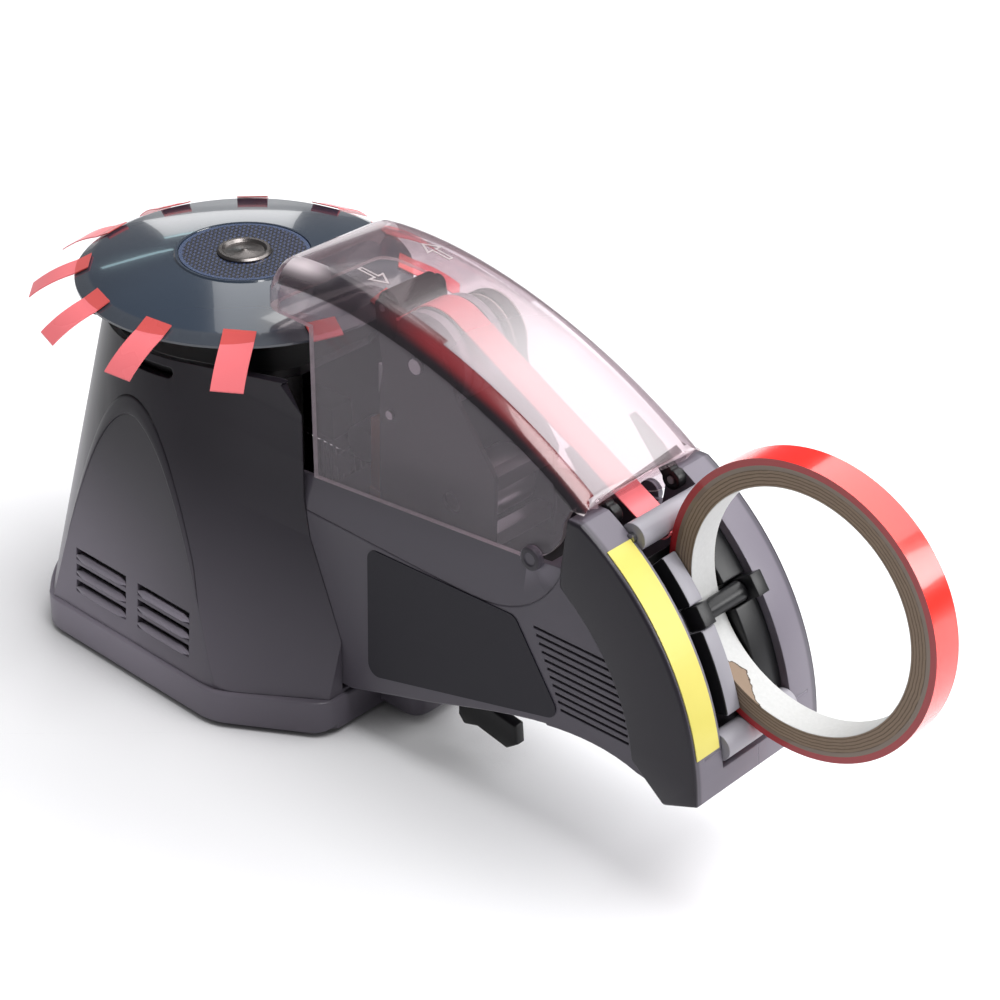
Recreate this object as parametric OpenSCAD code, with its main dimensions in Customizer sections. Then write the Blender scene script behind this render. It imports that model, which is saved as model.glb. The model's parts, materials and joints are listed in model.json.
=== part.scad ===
// Electric tape dispenser with a carousel.
// Frame: Z up, table at Z = 0, X from the carousel tower to the tail, Y across the machine.
// Side outlines are drawn in X and Z, measured from the carousel axis, and run across Y.
// The whole model is then moved by frame_x, so that the origin is under the middle of the part.
$fn = 64;

/* [Tower] */
// Radius of the round front of the base
base_r = 72; // [68:0.5:76]
// Width of the base over its flat sides
base_w = 117; // [112:1:124]
// Rear face of the base, from the carousel axis
base_rear_x = 74; // [71:0.5:78]
// Where the rear corner cut starts on the flat side
corner_x = 41; // [36:0.5:46]
// Half width of the rear face after the corner cut
corner_y = 37; // [33:0.5:42]
// Top of the plinth above the table
plinth_h = 14; // [12:0.5:17]
// Ledge between the plinth and the tower wall
plinth_ledge = 1.5; // [0.8:0.1:3]
// Top of the tower wall above the table
tower_h = 122; // [116:0.5:124]
// Radius of the tower wall at its top
tower_top_r = 46.5; // [44:0.5:50]
// Lean of the flat tower sides, in degrees
side_lean = 4.2; // [2:0.1:6]
// How far back the fairing reaches at the plinth
fair_foot_x = 81; // [78:0.5:86]
// How far back the fairing reaches above the arm
fair_top_x = 56.5; // [54:0.5:57]
// Run of the fairing towards the tower for each unit of height
fair_slope = 0.41; // [0.36:0.01:0.5]
// Wall of the moulded housings
wall = 2.4; // [1.8:0.1:3]
// Floor of the base tray
floor_t = 2.5; // [2:0.1:4]
// Radius of a rubber foot
foot_r = 8; // [6:0.5:9]
// Height of a rubber foot below the tray
foot_h = 2.2; // [1.5:0.1:4]
// Height of a vent slot
vent_h = 4.4; // [3:0.1:4.8]
// Pitch of the vent slots
vent_pitch = 6.2; // [5:0.1:7]
// Length of a vent slot
vent_l = 26; // [18:0.5:29]

/* [Carousel] */
// Radius of the carousel disc
disc_r = 55.5; // [52:0.5:60]
// Top edge of the disc rim above the table
rim_z = 134; // [131:0.5:136]
// Width of the bevel round the rim
bevel_w = 5; // [3:0.5:8]
// Height of the bevel
bevel_h = 2.6; // [1.5:0.1:4]
// Rise of the disc from the bevel to the label
crown_h = 3.4; // [2:0.1:4]
// Thickness of the disc
disc_t = 2.2; // [1.6:0.1:3]
// Outer radius of the ring label
ring_r = 21.5; // [20:0.5:30]
// Radius of the centre cap
cap_r = 9; // [7:0.5:12]
// Height of the centre cap
cap_h = 1.5; // [1.4:0.1:4]
// Radius of the carousel shaft
shaft_r = 4; // [3:0.5:5]
// Radius of the hub under the disc
hub_r = 15; // [12:0.5:18]
// Number of cut strips on the rim
strip_count = 12; // [6:1:12]
// How far a strip reaches past the rim
strip_over = 15; // [8:0.5:16]
// How far a strip lies on the disc
strip_on = 5; // [4:0.5:9]
// Droop of a strip's free end
strip_drop = 8.5; // [3:0.5:10]

/* [Arm] */
// Width of the arm over its side walls
arm_w = 56; // [52:0.5:58]
// Front end of the arm, inside the tower
arm_front_x = 50; // [47:0.5:52]
// Underside of the arm where it leaves the tower
belly_z = 16.4; // [15:0.2:20]
// Top of the arch under the arm, as the height of its guide points
belly_arch = 57; // [50:1:62]
// Line below which the side wall is flat
scoop_z = 78; // [72:0.5:82]
// Depth of the scooped band above that line
scoop_d = 1; // [0.4:0.1:1.5]
// Floor of the trough under the cover
trough_z = 80; // [76:0.5:84]
// Depth of the grooves beside the label
groove_d = 0.8; // [0.4:0.1:1.2]
// Width of a groove
groove_h = 0.9; // [0.6:0.1:1.4]
// Number of grooves
groove_count = 11; // [6:1:12]
// Thickness of the stuck labels
label_t = 0.4; // [0.3:0.05:0.6]

/* [Tail] */
// Centre of the tail's round rear face, along X
tail_x = 130.5; // [126:0.5:135]
// Centre of the tail's round rear face, in height
tail_z = 41.9; // [40:0.1:44]
// Radius of the rear face
tail_r = 90.2; // [86:0.2:94]
// Radius of the front edge of the cheeks
cheek_r = 65.7; // [62:0.5:68]
// Width of the tail over its cheeks
tail_w = 59; // [57:0.5:62]
// Width of the window between the cheeks
window_w = 33.2; // [31:0.2:36]
// Lower edge of the window
window_z = 54; // [52:0.5:56]
// Front face of the cheek tops
cheek_front_x = 167.5; // [166:0.5:169]

/* [Cover] */
// Width of the clear cover
cover_w = 54; // [50:0.5:55]
// Wall of the clear cover
cover_t = 1.8; // [1.4:0.1:2.4]
// Front edge of the cover's side panels
cover_front_x = 59; // [58:0.5:62]
// Foremost point of the cover's nose
nose_x = 38; // [34:0.5:42]
// Lower edge of the nose over the disc
nose_z = 143.5; // [142.5:0.5:146]
// Highest point of the cover
cover_top_z = 160.5; // [158:0.5:166]
// Rear end of the cover
cover_rear_x = 171.3; // [170:0.1:172]
// Top of the cover at its rear end
cover_rear_z = 126.2; // [125.6:0.1:128]
// Lower edge of the side panels at the front
cover_low_z = 90.5; // [88:0.5:93]
// Rise of that edge up to the hinge
cover_low_rise = 9.5; // [7:0.5:11]
// Width of the rounded shoulder
shoulder_w = 9; // [6:0.5:12]
// Height of the rounded shoulder
shoulder_h = 9; // [6:0.5:10]
// Hinge axis of the cover, along X
hinge_x = 171.5; // [171:0.1:172]
// Hinge axis of the cover, in height
hinge_z = 119; // [118.6:0.1:119.2]
// Radius of the hinge pins
hinge_pin_r = 1.3; // [1:0.1:1.5]
// Radius of the hinge eyes
hinge_eye_r = 3.3; // [2.6:0.1:3.6]

/* [Tape roll] */
// Inner radius of the roll's core
core_in_r = 38.5; // [36:0.5:40]
// Outer radius of the core
core_out_r = 43; // [42:0.5:45]
// Outer radius of the tape
roll_r = 46.4; // [46:0.2:50]
// Thickness of the white lining inside the core
lining_t = 0.5; // [0.3:0.1:0.8]
// Width of the tape
tape_w = 10.5; // [8:0.5:12]
// Thickness of the tape web
tape_t = 0.4; // [0.3:0.05:0.5]

/* [Rollers and guides] */
// Radius of the tail rollers
roller_r = 4.4; // [4:0.1:4.8]
// Radius of the roller axles
axle_r = 1.5; // [1.2:0.1:2]
// Upper roller, along X
upper_x = 181.7; // [181:0.1:182.5]
// Upper roller, in height
upper_z = 116.2; // [115.6:0.1:116.8]
// Lower roller, along X
lower_x = 217.2; // [216:0.1:218]
// Lower roller, in height
lower_z = 60; // [59:0.1:61]
// Inner radius of the curved roll guides
guide_r = 75.2; // [74.5:0.1:75.8]
// Thickness of the grey guide beside the roll
guide_t = 6; // [5:0.2:7]
// Travel of the grey guide
guide_travel = 3.5; // [2:0.1:3.8]
// Radius of the retainer rod
rod_r = 2.8; // [2.2:0.1:3.2]
// Side of the square rod ends
rod_end = 7; // [6:0.2:8]

/* [Feed mechanism] */
// Feed wheel, along X
wheel_x = 93; // [92:0.2:95]
// Feed wheel, in height
wheel_z = 138; // [137:0.2:139]
// Radius of the feed wheel
wheel_r = 15.5; // [15:0.1:16]
// Width of the feed wheel
wheel_w = 19; // [16:0.5:20]
// Radius of the feed axle
feed_axle_r = 2.5; // [2:0.1:3]
// Radius of the pinch roller
pinch_r = 4.6; // [4.4:0.1:5]
// Direction of the pinch roller from the wheel, in degrees
pinch_at = 142; // [138:0.5:146]
// Pivot of the pinch arm, along X
pinch_pivot_x = 82; // [81:0.2:84]
// Pivot of the pinch arm, in height
pinch_pivot_z = 117; // [115:0.5:118]
// Thickness of the steel side plates
plate_t = 1.5; // [1:0.1:2]
// Outer faces of the side plates, from one to the other
plate_w = 29; // [28:0.5:30]
// Radius of the feed motor
motor_r = 10; // [8:0.5:11]
// Feed motor, along X
motor_x = 108; // [106:0.5:110]
// Feed motor, in height
motor_z = 96; // [95:0.5:98]
// Running radius of the pulley on the feed axle
wheel_pulley_r = 12; // [10:0.5:13]
// Running radius of the pulley on the motor
motor_pulley_r = 5; // [4:0.5:6]
// Width of the drive belt
belt_w = 4; // [3:0.5:5]
// Thickness of the drive belt
belt_t = 1.2; // [0.8:0.1:1.6]
// Cutter, along X
cutter_x = 75.4; // [75:0.1:75.8]
// Travel of the cutter
cutter_travel = 8; // [5:0.5:8]

/* [Controls] */
// Height of the switch and the knob above the table
control_z = 58; // [54:0.5:62]
// Distance of the switch and the knob from the middle
control_x = 13; // [12:0.5:15]
// Height of the power inlet above the table
inlet_z = 43; // [42.5:0.5:43.5]
// Radius of the knob
knob_r = 8; // [6:0.5:9]
// Radius of the power inlet's body
inlet_r = 4; // [3:0.5:5]

/* [Clearances] */
// Radial clearance of turning fits
run_gap = 0.05; // [0.02:0.01:0.1]
// Gap between pieces that move past each other
pass_gap = 0.35; // [0.3:0.05:0.5]
// Gap between pieces that are fixed together
seat_gap = 0.1; // [0.05:0.05:0.2]

/* [Hidden] */

// Colours of the moulded and metal pieces
grey = [0.30, 0.29, 0.32];
dark = [0.10, 0.10, 0.11];
steel = [0.70, 0.70, 0.72];
red = [0.85, 0.12, 0.10];

// The roll rests on the two rollers, with the web between it and the upper one
nip = roll_r + roller_r + tape_t + 2 * pass_gap;
rest = roll_r + roller_r + pass_gap;
roller_span = norm([lower_x - upper_x, lower_z - upper_z]);
span_x = (lower_x - upper_x) / roller_span;
span_z = (lower_z - upper_z) / roller_span;
along = (nip * nip - rest * rest + roller_span * roller_span) / (2 * roller_span);
off = sqrt(nip * nip - along * along);
roll_x = upper_x + along * span_x - off * span_z;
roll_z = upper_z + along * span_z + off * span_x;

// The origin lies under the middle of the part
frame_x = -(roll_x + roll_r - base_r) / 2;

// Heights that pieces share
tray_z = foot_h;
tray_floor_z = tray_z + floor_t;
crown_z = rim_z + bevel_h + crown_h;
disc_under_z = crown_z - disc_t;
deck_z = tower_h - 6;
deck_t = 3;
cheek_top = acos((cheek_front_x + 5 - tail_x) / tail_r);

// Retainer rod against the inside of the core, on the side towards the tail
rod_dist = core_in_r - lining_t - rod_r - pass_gap;
rod_dir = [-0.914, -0.405];
rod_x = roll_x + rod_dist * rod_dir[0];
rod_z = roll_z + rod_dist * rod_dir[1];
rod_angle = atan2(rod_z - tail_z, rod_x - tail_x);

// Pinch roller on the wheel, with the web between them
pinch_dist = wheel_r + pinch_r + tape_t + 2 * pass_gap;
pinch_x = wheel_x + pinch_dist * cos(pinch_at);
pinch_z = wheel_z + pinch_dist * sin(pinch_at);

// Points on an arc in X and Z, from one angle to another
function arc(cx, cz, r, from, to, steps = 16) =
    [for (i = [0 : steps]) let(a = from + (to - from) * i / steps) [cx + r * cos(a), cz + r * sin(a)]];

// Points on a cubic curve through p0 and p3
function curve(p0, p1, p2, p3, steps = 16) =
    [for (i = [0 : steps]) let(t = i / steps, u = 1 - t)
        u * u * u * p0 + 3 * u * u * t * p1 + 3 * u * t * t * p2 + t * t * t * p3];

// Moves a piece from the carousel axis to the part's own frame
module in_frame() translate([frame_x, 0, 0]) children();

// Runs an outline in X and Z across Y
module across(y0, y1) translate([0, y1, 0]) rotate([90, 0, 0]) linear_extrude(y1 - y0) children();

// Round bar across Y
module bar(x, z, r, y0, y1) translate([x, y1, z]) rotate([90, 0, 0]) cylinder(r = r, h = y1 - y0);

// Both sides of the machine
module both() {
    children();
    mirror([0, 1, 0]) children();
}

// Sector of a ring about the centre of the tail's rear face, in X and Z
module tail_ring(r0, r1, a0, a1)
    polygon(concat(arc(tail_x, tail_z, r1, a0, a1, 24), arc(tail_x, tail_z, r0, a1, a0, 24)));

// Closed solid through a list of rings with the same number of points
module loft(rings) {
    n = len(rings[0]);
    m = len(rings);
    pts = [for (ring = rings) for (p = ring) p];
    sides = [for (j = [0 : m - 2]) for (i = [0 : n - 1]) for (half = [0, 1])
        let(k = (i + 1) % n)
        half == 0 ? [j * n + i, j * n + k, (j + 1) * n + k]
            : [j * n + i, (j + 1) * n + k, (j + 1) * n + i]];
    first = [[for (i = [n - 1 : -1 : 0]) i]];
    last = [[for (i = [0 : n - 1]) (m - 1) * n + i]];
    polyhedron(pts, concat(first, sides, last));
}

// Tower wall: a cone cut by two flat sides and two rear corners, faired into the arm
function cone_r(z) = base_r - plinth_ledge
    - (base_r - plinth_ledge - tower_top_r) * (z - plinth_h) / (tower_h - plinth_h);
function side_y(z) = base_w / 2 - plinth_ledge - (z - plinth_h) * tan(side_lean);
function fair_x(z) = max(fair_foot_x - (z - plinth_h) * fair_slope, fair_top_x);

// Line of the rear corner cut, and where it meets the side and the rear after an inset
corner_len = norm([base_rear_x - corner_x, base_w / 2 - corner_y]);
corner_nx = (base_w / 2 - corner_y) / corner_len;
corner_ny = (base_rear_x - corner_x) / corner_len;
corner_dist = corner_nx * corner_x + corner_ny * base_w / 2;
function on_corner_y(x, inset) = (corner_dist - inset - corner_nx * x) / corner_ny;
function on_corner_x(y, inset) = (corner_dist - inset - corner_ny * y) / corner_nx;

tower_arc_steps = 56;
function tower_ring(z, inset) =
    let(r = cone_r(z) - inset, x = fair_x(z) - inset, y = arm_w / 2 - inset,
        touch = atan2(y, x) + acos(min(1, r / norm([x, y]))))
    concat([[x, -y, z]],
        [for (p = arc(0, 0, r, 360 - touch, touch, tower_arc_steps)) [p[0], p[1], z]],
        [[x, y, z]]);
tower_steps = 8;
function tower_z(i) = plinth_h + (tower_h - plinth_h) * i / tower_steps;

module tower_cone(inset, past) loft([for (i = [0 : tower_steps])
    let(end = i == 0 ? -past : i == tower_steps ? past : 0)
    [for (p = tower_ring(tower_z(i), inset)) p + [0, 0, end]]]);

// Space between the leaning flat sides
module between_sides(inset) translate([-2 * base_r, 0, 0]) rotate([90, 0, 90]) linear_extrude(4 * base_r)
    polygon([[-side_y(0) + inset, 0], [side_y(0) - inset, 0],
        [side_y(2 * tower_h) - inset, 2 * tower_h], [-side_y(2 * tower_h) + inset, 2 * tower_h]]);

module tower_solid(inset, past) intersection() {
    tower_cone(inset, past);
    between_sides(inset);
    linear_extrude(2 * tower_h) rear_plan(plinth_ledge + inset, base_r);
}

// Space in front of the rear face and the corner cuts, out to a half width
module rear_plan(inset, half) polygon([[-2 * base_r, half], [on_corner_x(half, inset), half],
    [base_rear_x - inset, on_corner_y(base_rear_x - inset, inset)],
    [base_rear_x - inset, -on_corner_y(base_rear_x - inset, inset)],
    [on_corner_x(half, inset), -half], [-2 * base_r, -half]]);

// Point on the far flat side, with Z pointing out of the wall
function place_y(x, z) = min(side_y(z), sqrt(pow(cone_r(z), 2) - pow(max(0, abs(x) - knob_r), 2)));
module on_side(x, z) translate([x, place_y(x, z), z]) rotate([side_lean - 90, 0, 0]) children();

notch_x = fair_top_x - 7;
notch_z = tower_h - 1;
vent_low_z = plinth_h + 7;
vent_slope = 0.7;
switch_w = 13;
switch_l = 19;
rocker_tilt = 8;
rocker_pivot_r = 1;
sensor_at = 222;
sensor_w = 14;
sensor_in = 34;
sensor_out = 47;
sensor_h = 5;

// Louvred vents: slots whose lower lip rises inwards
vent_out = 2;
vent_in = 6;
module vents() for (i = [0 : 2]) for (s = [-1, 1])
    let(z = vent_low_z + i * vent_pitch)
    translate([s * (vent_l / 2 + 3) - vent_l / 2, side_y(z), z]) rotate([90, 0, 90]) linear_extrude(vent_l)
        polygon([[vent_out, -vent_out * vent_slope], [vent_out, vent_h - vent_out * vent_slope],
            [-vent_in, vent_h + vent_in * vent_slope], [-vent_in, vent_in * vent_slope]]);

module sensor_bar(grow) rotate(sensor_at)
    translate([sensor_in, -sensor_w / 2 - grow, deck_z + deck_t - (grow > 0 ? 0.01 : 0)])
        cube([sensor_out - sensor_in, sensor_w + 2 * grow, sensor_h + grow]);

// Slot with round ends, along X from its first centre
module rounded_slot(length, r) {
    circle(r = r);
    translate([length, 0]) circle(r = r);
    translate([0, -r]) square([length, 2 * r]);
}

module tower_shell() color(grey) in_frame() difference() {
    tower_solid(0, 0);
    tower_solid(wall, 1);
    both() vents();
    // Way for the arm and the tape at the rear
    translate([arm_front_x - 3, -arm_w / 2 - seat_gap, belly_z - 1])
        cube([base_rear_x, arm_w + 2 * seat_gap, tower_h]);
    // Notched edge in front of the cover
    across(-base_w, base_w) polygon([[notch_x, notch_z],
        [notch_x + 20, notch_z + 28], [notch_x + 20, notch_z - 28]]);
    // Rounded slot near the top
    both() translate([-7, -base_w / 2, tower_h - 4.5])
        rotate([-90, 0, 0]) linear_extrude(25) rounded_slot(20, 1.8);
    sensor_bar(seat_gap);
    on_side(-control_x, control_z) cube([switch_l, switch_w, 40], center = true);
    on_side(control_x, control_z) cylinder(r = 3.2, h = 40, center = true);
    on_side(0, inlet_z) cylinder(r = inlet_r + seat_gap, h = 40, center = true);
}

// Plan of the base, smaller by an inset
module base_plan(inset) intersection() {
    union() {
        circle(r = base_r - inset, $fn = 128);
        translate([0, -base_w]) square([2 * base_r, 2 * base_w]);
    }
    rear_plan(inset, base_w / 2 - inset);
}

screw_places = [[-30, -46], [-30, 46], [36, -46], [36, 46]];
foot_places = [[-46, -34], [-46, 34], [base_rear_x - foot_r - 5, -22], [base_rear_x - foot_r - 5, 22]];
tongue_l = 17;
tongue_w = 24;

module base_tray() color(grey) in_frame() difference() {
    union() {
        translate([0, 0, tray_z]) linear_extrude(plinth_h - tray_z) base_plan(0);
        translate([base_rear_x - wall, -tongue_w / 2, tray_z + 2]) cube([tongue_l + wall, tongue_w, 7]);
    }
    translate([0, 0, tray_floor_z]) linear_extrude(plinth_h) base_plan(plinth_ledge + wall);
    for (p = screw_places) translate([p[0], p[1], 0]) cylinder(r = 1.5 + seat_gap, h = 2 * plinth_h);
}

ballast_l = 92;
ballast_w = 76;
ballast_h = 8;
ballast_x = -52;

module ballast_plate() color(steel) in_frame()
    translate([ballast_x, -ballast_w / 2, tray_floor_z]) cube([ballast_l, ballast_w, ballast_h]);

module rubber_feet() color(dark) in_frame() for (p = foot_places)
    translate([p[0], p[1], 0]) cylinder(r = foot_r, h = foot_h);

module base_screws() color(steel) in_frame() for (p = screw_places) translate([p[0], p[1], tray_z - 1.2]) {
    cylinder(r = 2.8, h = 1.2);
    cylinder(r = 1.5, h = 1.2 + floor_t + 6);
}

bush_r = shaft_r + 3;

module top_deck() color(dark) in_frame() difference() {
    intersection() {
        translate([0, 0, deck_z]) cylinder(r = cone_r(deck_z + deck_t) - wall - seat_gap, h = deck_t);
        between_sides(wall + seat_gap);
    }
    translate([0, 0, deck_z - 1]) cylinder(r = bush_r + seat_gap, h = deck_t + 2);
    translate([arm_front_x - 8, -base_w, deck_z - 1]) cube([base_r, 2 * base_w, deck_t + 2]);
}

module deck_bush() color("goldenrod") in_frame() translate([0, 0, deck_z - 2]) difference() {
    union() {
        cylinder(r = bush_r, h = deck_t + 5);
        cylinder(r = bush_r + 2, h = 2 - seat_gap);
    }
    translate([0, 0, -1]) cylinder(r = shaft_r + run_gap, h = deck_t + 7);
}

motor_top_z = deck_z - 4;
gear_motor_r = 18;
gear_motor_h = 52;

module carousel_motor() color(steel) in_frame() translate([0, 0, motor_top_z]) difference() {
    union() {
        translate([0, 0, -gear_motor_h]) cylinder(r = gear_motor_r, h = gear_motor_h);
        for (a = [0 : 120 : 240]) rotate(a) translate([gear_motor_r - 3, 0, 0]) cylinder(r = 2, h = 4);
    }
    translate([0, 0, -16]) cylinder(r = shaft_r + run_gap, h = 30);
}

module strip_sensor() color(dark) in_frame() {
    sensor_bar(0);
    rotate(sensor_at) translate([sensor_out, 0, deck_z + deck_t]) cylinder(r = sensor_w / 2, h = sensor_h);
}

board_z = tray_floor_z + ballast_h + 8;
board_x = -42;
board_l = 70;
board_w = 52;
spacer_in = 3;

module circuit_board() color("seagreen") in_frame() translate([board_x, -board_w / 2, board_z]) {
    cube([board_l, board_w, 1.6]);
    for (x = [14, 30]) translate([x, 14, 1.6]) cylinder(r = 5, h = 14);
    translate([40, 10, 1.6]) cube([16, 16, 3]);
    translate([12, 32, 1.6]) cube([44, 12, 9]);
}

module board_spacers() color("goldenrod") in_frame()
    for (x = [board_x + spacer_in, board_x + board_l - spacer_in]) for (y = [-1, 1])
        translate([x, y * (board_w / 2 - spacer_in), tray_floor_z + ballast_h]) cylinder(r = 2.4, h = 8);

module dc_inlet() color(dark) in_frame() on_side(0, inlet_z) difference() {
    union() {
        translate([0, 0, -12]) cylinder(r = inlet_r, h = 12);
        cylinder(r = inlet_r + 1.6, h = 1.2);
    }
    translate([0, 0, -8]) cylinder(r = inlet_r - 1.2, h = 12);
}

module switch_frame() color(dark) in_frame() on_side(-control_x, control_z) difference() {
    union() {
        translate([0, 0, -5]) cube([switch_l - 2 * seat_gap, switch_w - 2 * seat_gap, 14], center = true);
        translate([0, 0, 0.8]) cube([switch_l + 4, switch_w + 4, 1.6], center = true);
    }
    translate([0, 0, 3]) cube([switch_l - 4, switch_w - 4, 16], center = true);
    rotate([90, 0, 0]) cylinder(r = rocker_pivot_r + run_gap, h = switch_w - 2, center = true);
}

module power_switch() color("black") in_frame() on_side(-control_x, control_z) rotate([0, rocker_tilt, 0]) {
    translate([-(switch_l - 6) / 2, -(switch_w - 5) / 2, -1]) cube([switch_l - 6, switch_w - 5, 3.4]);
    rotate([90, 0, 0]) cylinder(r = rocker_pivot_r, h = switch_w - 2.4, center = true);
}

module knob_spindle() color(steel) in_frame() on_side(control_x, control_z) {
    translate([0, 0, -14]) cylinder(r = 7, h = 10);
    translate([0, 0, -5]) cylinder(r = 3, h = 7.5);
}

module length_knob() color(dark) in_frame() on_side(control_x, control_z) difference() {
    translate([0, 0, 1 + pass_gap]) union() {
        cylinder(r = knob_r, h = 9);
        translate([0, 0, 9]) cylinder(r = knob_r - 1.5, h = 1.2);
    }
    cylinder(r = 3 + run_gap, h = 3.2);
    translate([-0.6, 2, 9 + pass_gap]) cube([1.2, knob_r, 4]);
    for (a = [0 : 20 : 340]) rotate(a) translate([knob_r + 0.5, 0, 0]) cylinder(r = 0.9, h = 20);
}

edge_t = 0.8;

module carousel_disc() color([0.16, 0.20, 0.28]) in_frame() rotate_extrude($fn = 160) polygon([
    [shaft_r + run_gap, disc_under_z], [shaft_r + run_gap, crown_z], [ring_r + 0.3, crown_z],
    [ring_r + 0.5, crown_z + 0.5], [ring_r + 1.2, crown_z + 0.5], [ring_r + 1.6, crown_z],
    [disc_r - bevel_w, rim_z + bevel_h], [disc_r, rim_z], [disc_r, rim_z - edge_t],
    [disc_r - 1.6, rim_z - edge_t],
    [disc_r - bevel_w - 0.5, rim_z + bevel_h - disc_t - 0.6], [ring_r, disc_under_z]]);

module disc_label() color([0.10, 0.13, 0.22]) in_frame() translate([0, 0, crown_z]) difference() {
    cylinder(r = ring_r, h = label_t);
    translate([0, 0, -1]) cylinder(r = cap_r + seat_gap, h = 2);
}

module disc_cap() color([0.12, 0.10, 0.10]) in_frame() translate([0, 0, crown_z]) rotate_extrude($fn = 96)
    polygon([[0, 0], [cap_r, 0], [cap_r, cap_h - 0.6], [cap_r - 0.6, cap_h], [cap_r - 1.6, cap_h],
        [cap_r - 2.4, cap_h - 0.9], [1.2, cap_h - 0.6], [0, cap_h]]);

module disc_hub() color(dark) in_frame() difference() {
    union() {
        translate([0, 0, disc_under_z - 4]) cylinder(r = hub_r, h = 4);
        translate([0, 0, deck_z + deck_t + 4])
            cylinder(r = bush_r + 1, h = disc_under_z - deck_z - deck_t - 4);
    }
    translate([0, 0, deck_z]) cylinder(r = shaft_r + run_gap, h = 40);
}

module carousel_shaft() color(steel) in_frame() translate([0, 0, motor_top_z - 15])
    cylinder(r = shaft_r, h = crown_z - motor_top_z + 15);

// Strip on the disc: up the cone, over the bevel and drooping free past the rim
strip_lift = 0.35;
function strip_line() = let(in_r = disc_r - strip_on, low = rim_z + strip_lift, high = low + bevel_h)
    concat([[in_r, in_r < disc_r - bevel_w ? high + 0.1 : low + bevel_h * strip_on / bevel_w]],
        in_r < disc_r - bevel_w ? [[disc_r - bevel_w, high]] : [],
        curve([disc_r, low], [disc_r + strip_over / 3, low - 1.8],
            [disc_r + strip_over * 2 / 3, low - strip_drop / 2], [disc_r + strip_over, low - strip_drop], 8));

module tape_strips() color(red) in_frame() for (i = [0 : strip_count - 1])
    rotate((i + 0.5) * 360 / strip_count) across(-tape_w / 2, tape_w / 2) polygon(concat(
        strip_line(), [for (k = [len(strip_line()) - 1 : -1 : 0]) strip_line()[k] + [0, tape_t]]));

// Arm: belly, round rear face and scooped band, as outlines in X and Z
belly_turn_x = 112;
belly_turn_z = 29.3;
tip_x = 208.5;
tip_z = 41.2;
tip_angle = 3;
function cover_low(x) = cover_low_z + cover_low_rise * (x - cover_front_x) / (148 - cover_front_x);
arch_line = curve([belly_turn_x, belly_turn_z], [150, 44], [185, belly_arch], [tip_x, tip_z], 20);
function belly() = concat([[arm_front_x, belly_z - 0.6], [base_rear_x + wall, belly_z + 1]],
    arch_line);
function rear_face() = arc(tail_x, tail_z, tail_r, tip_angle, cheek_top, 24);
function scoop() = concat(curve([165, 103], [161, 90], [150, scoop_z + 1], [128, scoop_z], 10),
    [[arm_front_x, scoop_z]]);

// How deep the roller axles sit in the cheeks; the upper one snaps into open notches
upper_seat = 1;
lower_seat = 8;

lever_x = 107.5;
lever_z = 23;
lever_w = 12;
ear_t = 2.5;

module arm_outline()
    polygon(concat(belly(), rear_face(), [[cheek_front_x, 121.5], [cheek_front_x - 2, 104]], scoop()));

module band_outline() polygon([[arm_front_x, scoop_z - 1], [128, scoop_z - 1], [150, scoop_z + 2],
    [164, 98], [166, 103], [149, cover_low(149) - pass_gap],
    [arm_front_x, cover_low(arm_front_x) - pass_gap]]);

module cheek_outline() polygon(concat(rear_face(), [[cheek_front_x, 121.5], [cheek_front_x - 2, 104],
    [cheek_front_x - 2, 98]], arc(tail_x, tail_z, cheek_r, 56, 8, 12), [[tip_x, tip_z]]));

module trough_outline() polygon(concat(
    [[arm_front_x - 1, belly_z + wall], [base_rear_x, belly_z + wall + 1.5]],
    [for (p = arch_line) if (p[0] < 160) p + [0, wall]],
    [[160, 130], [arm_front_x - 1, 130]]));

module window_outline() translate([155, window_z]) square([tail_x + tail_r - 150, 135 - window_z]);

module groove(z) {
    x0 = 154.6 + (79 - z) * 0.48;
    x1 = tail_x + sqrt(cheek_r * cheek_r - (z - tail_z) * (z - tail_z)) - 1.6;
    across(-arm_w / 2 - 1, -arm_w / 2 + groove_d)
        polygon([[x0, z], [x1, z + 1], [x1, z + 1 + groove_h], [x0, z + groove_h]]);
}

// Near half of the arm; the far half is its mirror image
module arm_half() difference() {
    union() {
        across(-arm_w / 2, 0) arm_outline();
        across(-arm_w / 2 + scoop_d, 0) band_outline();
        across(-tail_w / 2, -window_w / 2) cheek_outline();
        // Ear of the lever under the belly
        across(-lever_w / 2 - pass_gap - ear_t, -lever_w / 2 - pass_gap) union() {
            translate([lever_x, lever_z]) circle(r = 4);
            polygon([[lever_x - 4, lever_z], [lever_x + 4, lever_z], [lever_x + 7, 31], [lever_x - 7, 29]]);
        }
    }
    across(-arm_w / 2 + wall + scoop_d, 1) trough_outline();
    across(-window_w / 2, 1) window_outline();
    for (i = [0 : groove_count - 1]) groove(78.2 - i * 2.45);
    bar(upper_x, upper_z, axle_r + run_gap, -window_w / 2 - upper_seat - seat_gap, 0);
    bar(lower_x, lower_z, axle_r + run_gap, -window_w / 2 - lower_seat - seat_gap, 0);
    bar(hinge_x, hinge_z, hinge_pin_r + run_gap, -window_w / 2 - 6, 0);
    bar(lever_x, lever_z, 1.5 + run_gap, -arm_w / 2 + wall, 0);
}

module arm_shell_near() color(grey) in_frame() arm_half();
module arm_shell_far() color(grey) in_frame() mirror([0, 1, 0]) arm_half();

label_corner_r = 4;
label_x = base_rear_x + 15;
label_top_z = scoop_z - 6;
label_low_z = belly_turn_z + 3.2;
module label_outline() polygon(concat(arc(label_x, label_top_z, label_corner_r, 180, 92, 6),
    arc(label_x + 56.5, label_top_z + 3, label_corner_r, 88, 30, 6),
    arc(label_x + 72, label_top_z - 19, label_corner_r, 30, -75, 8),
    arc(label_x, label_low_z, label_corner_r, 285, 180, 8)));

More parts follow.
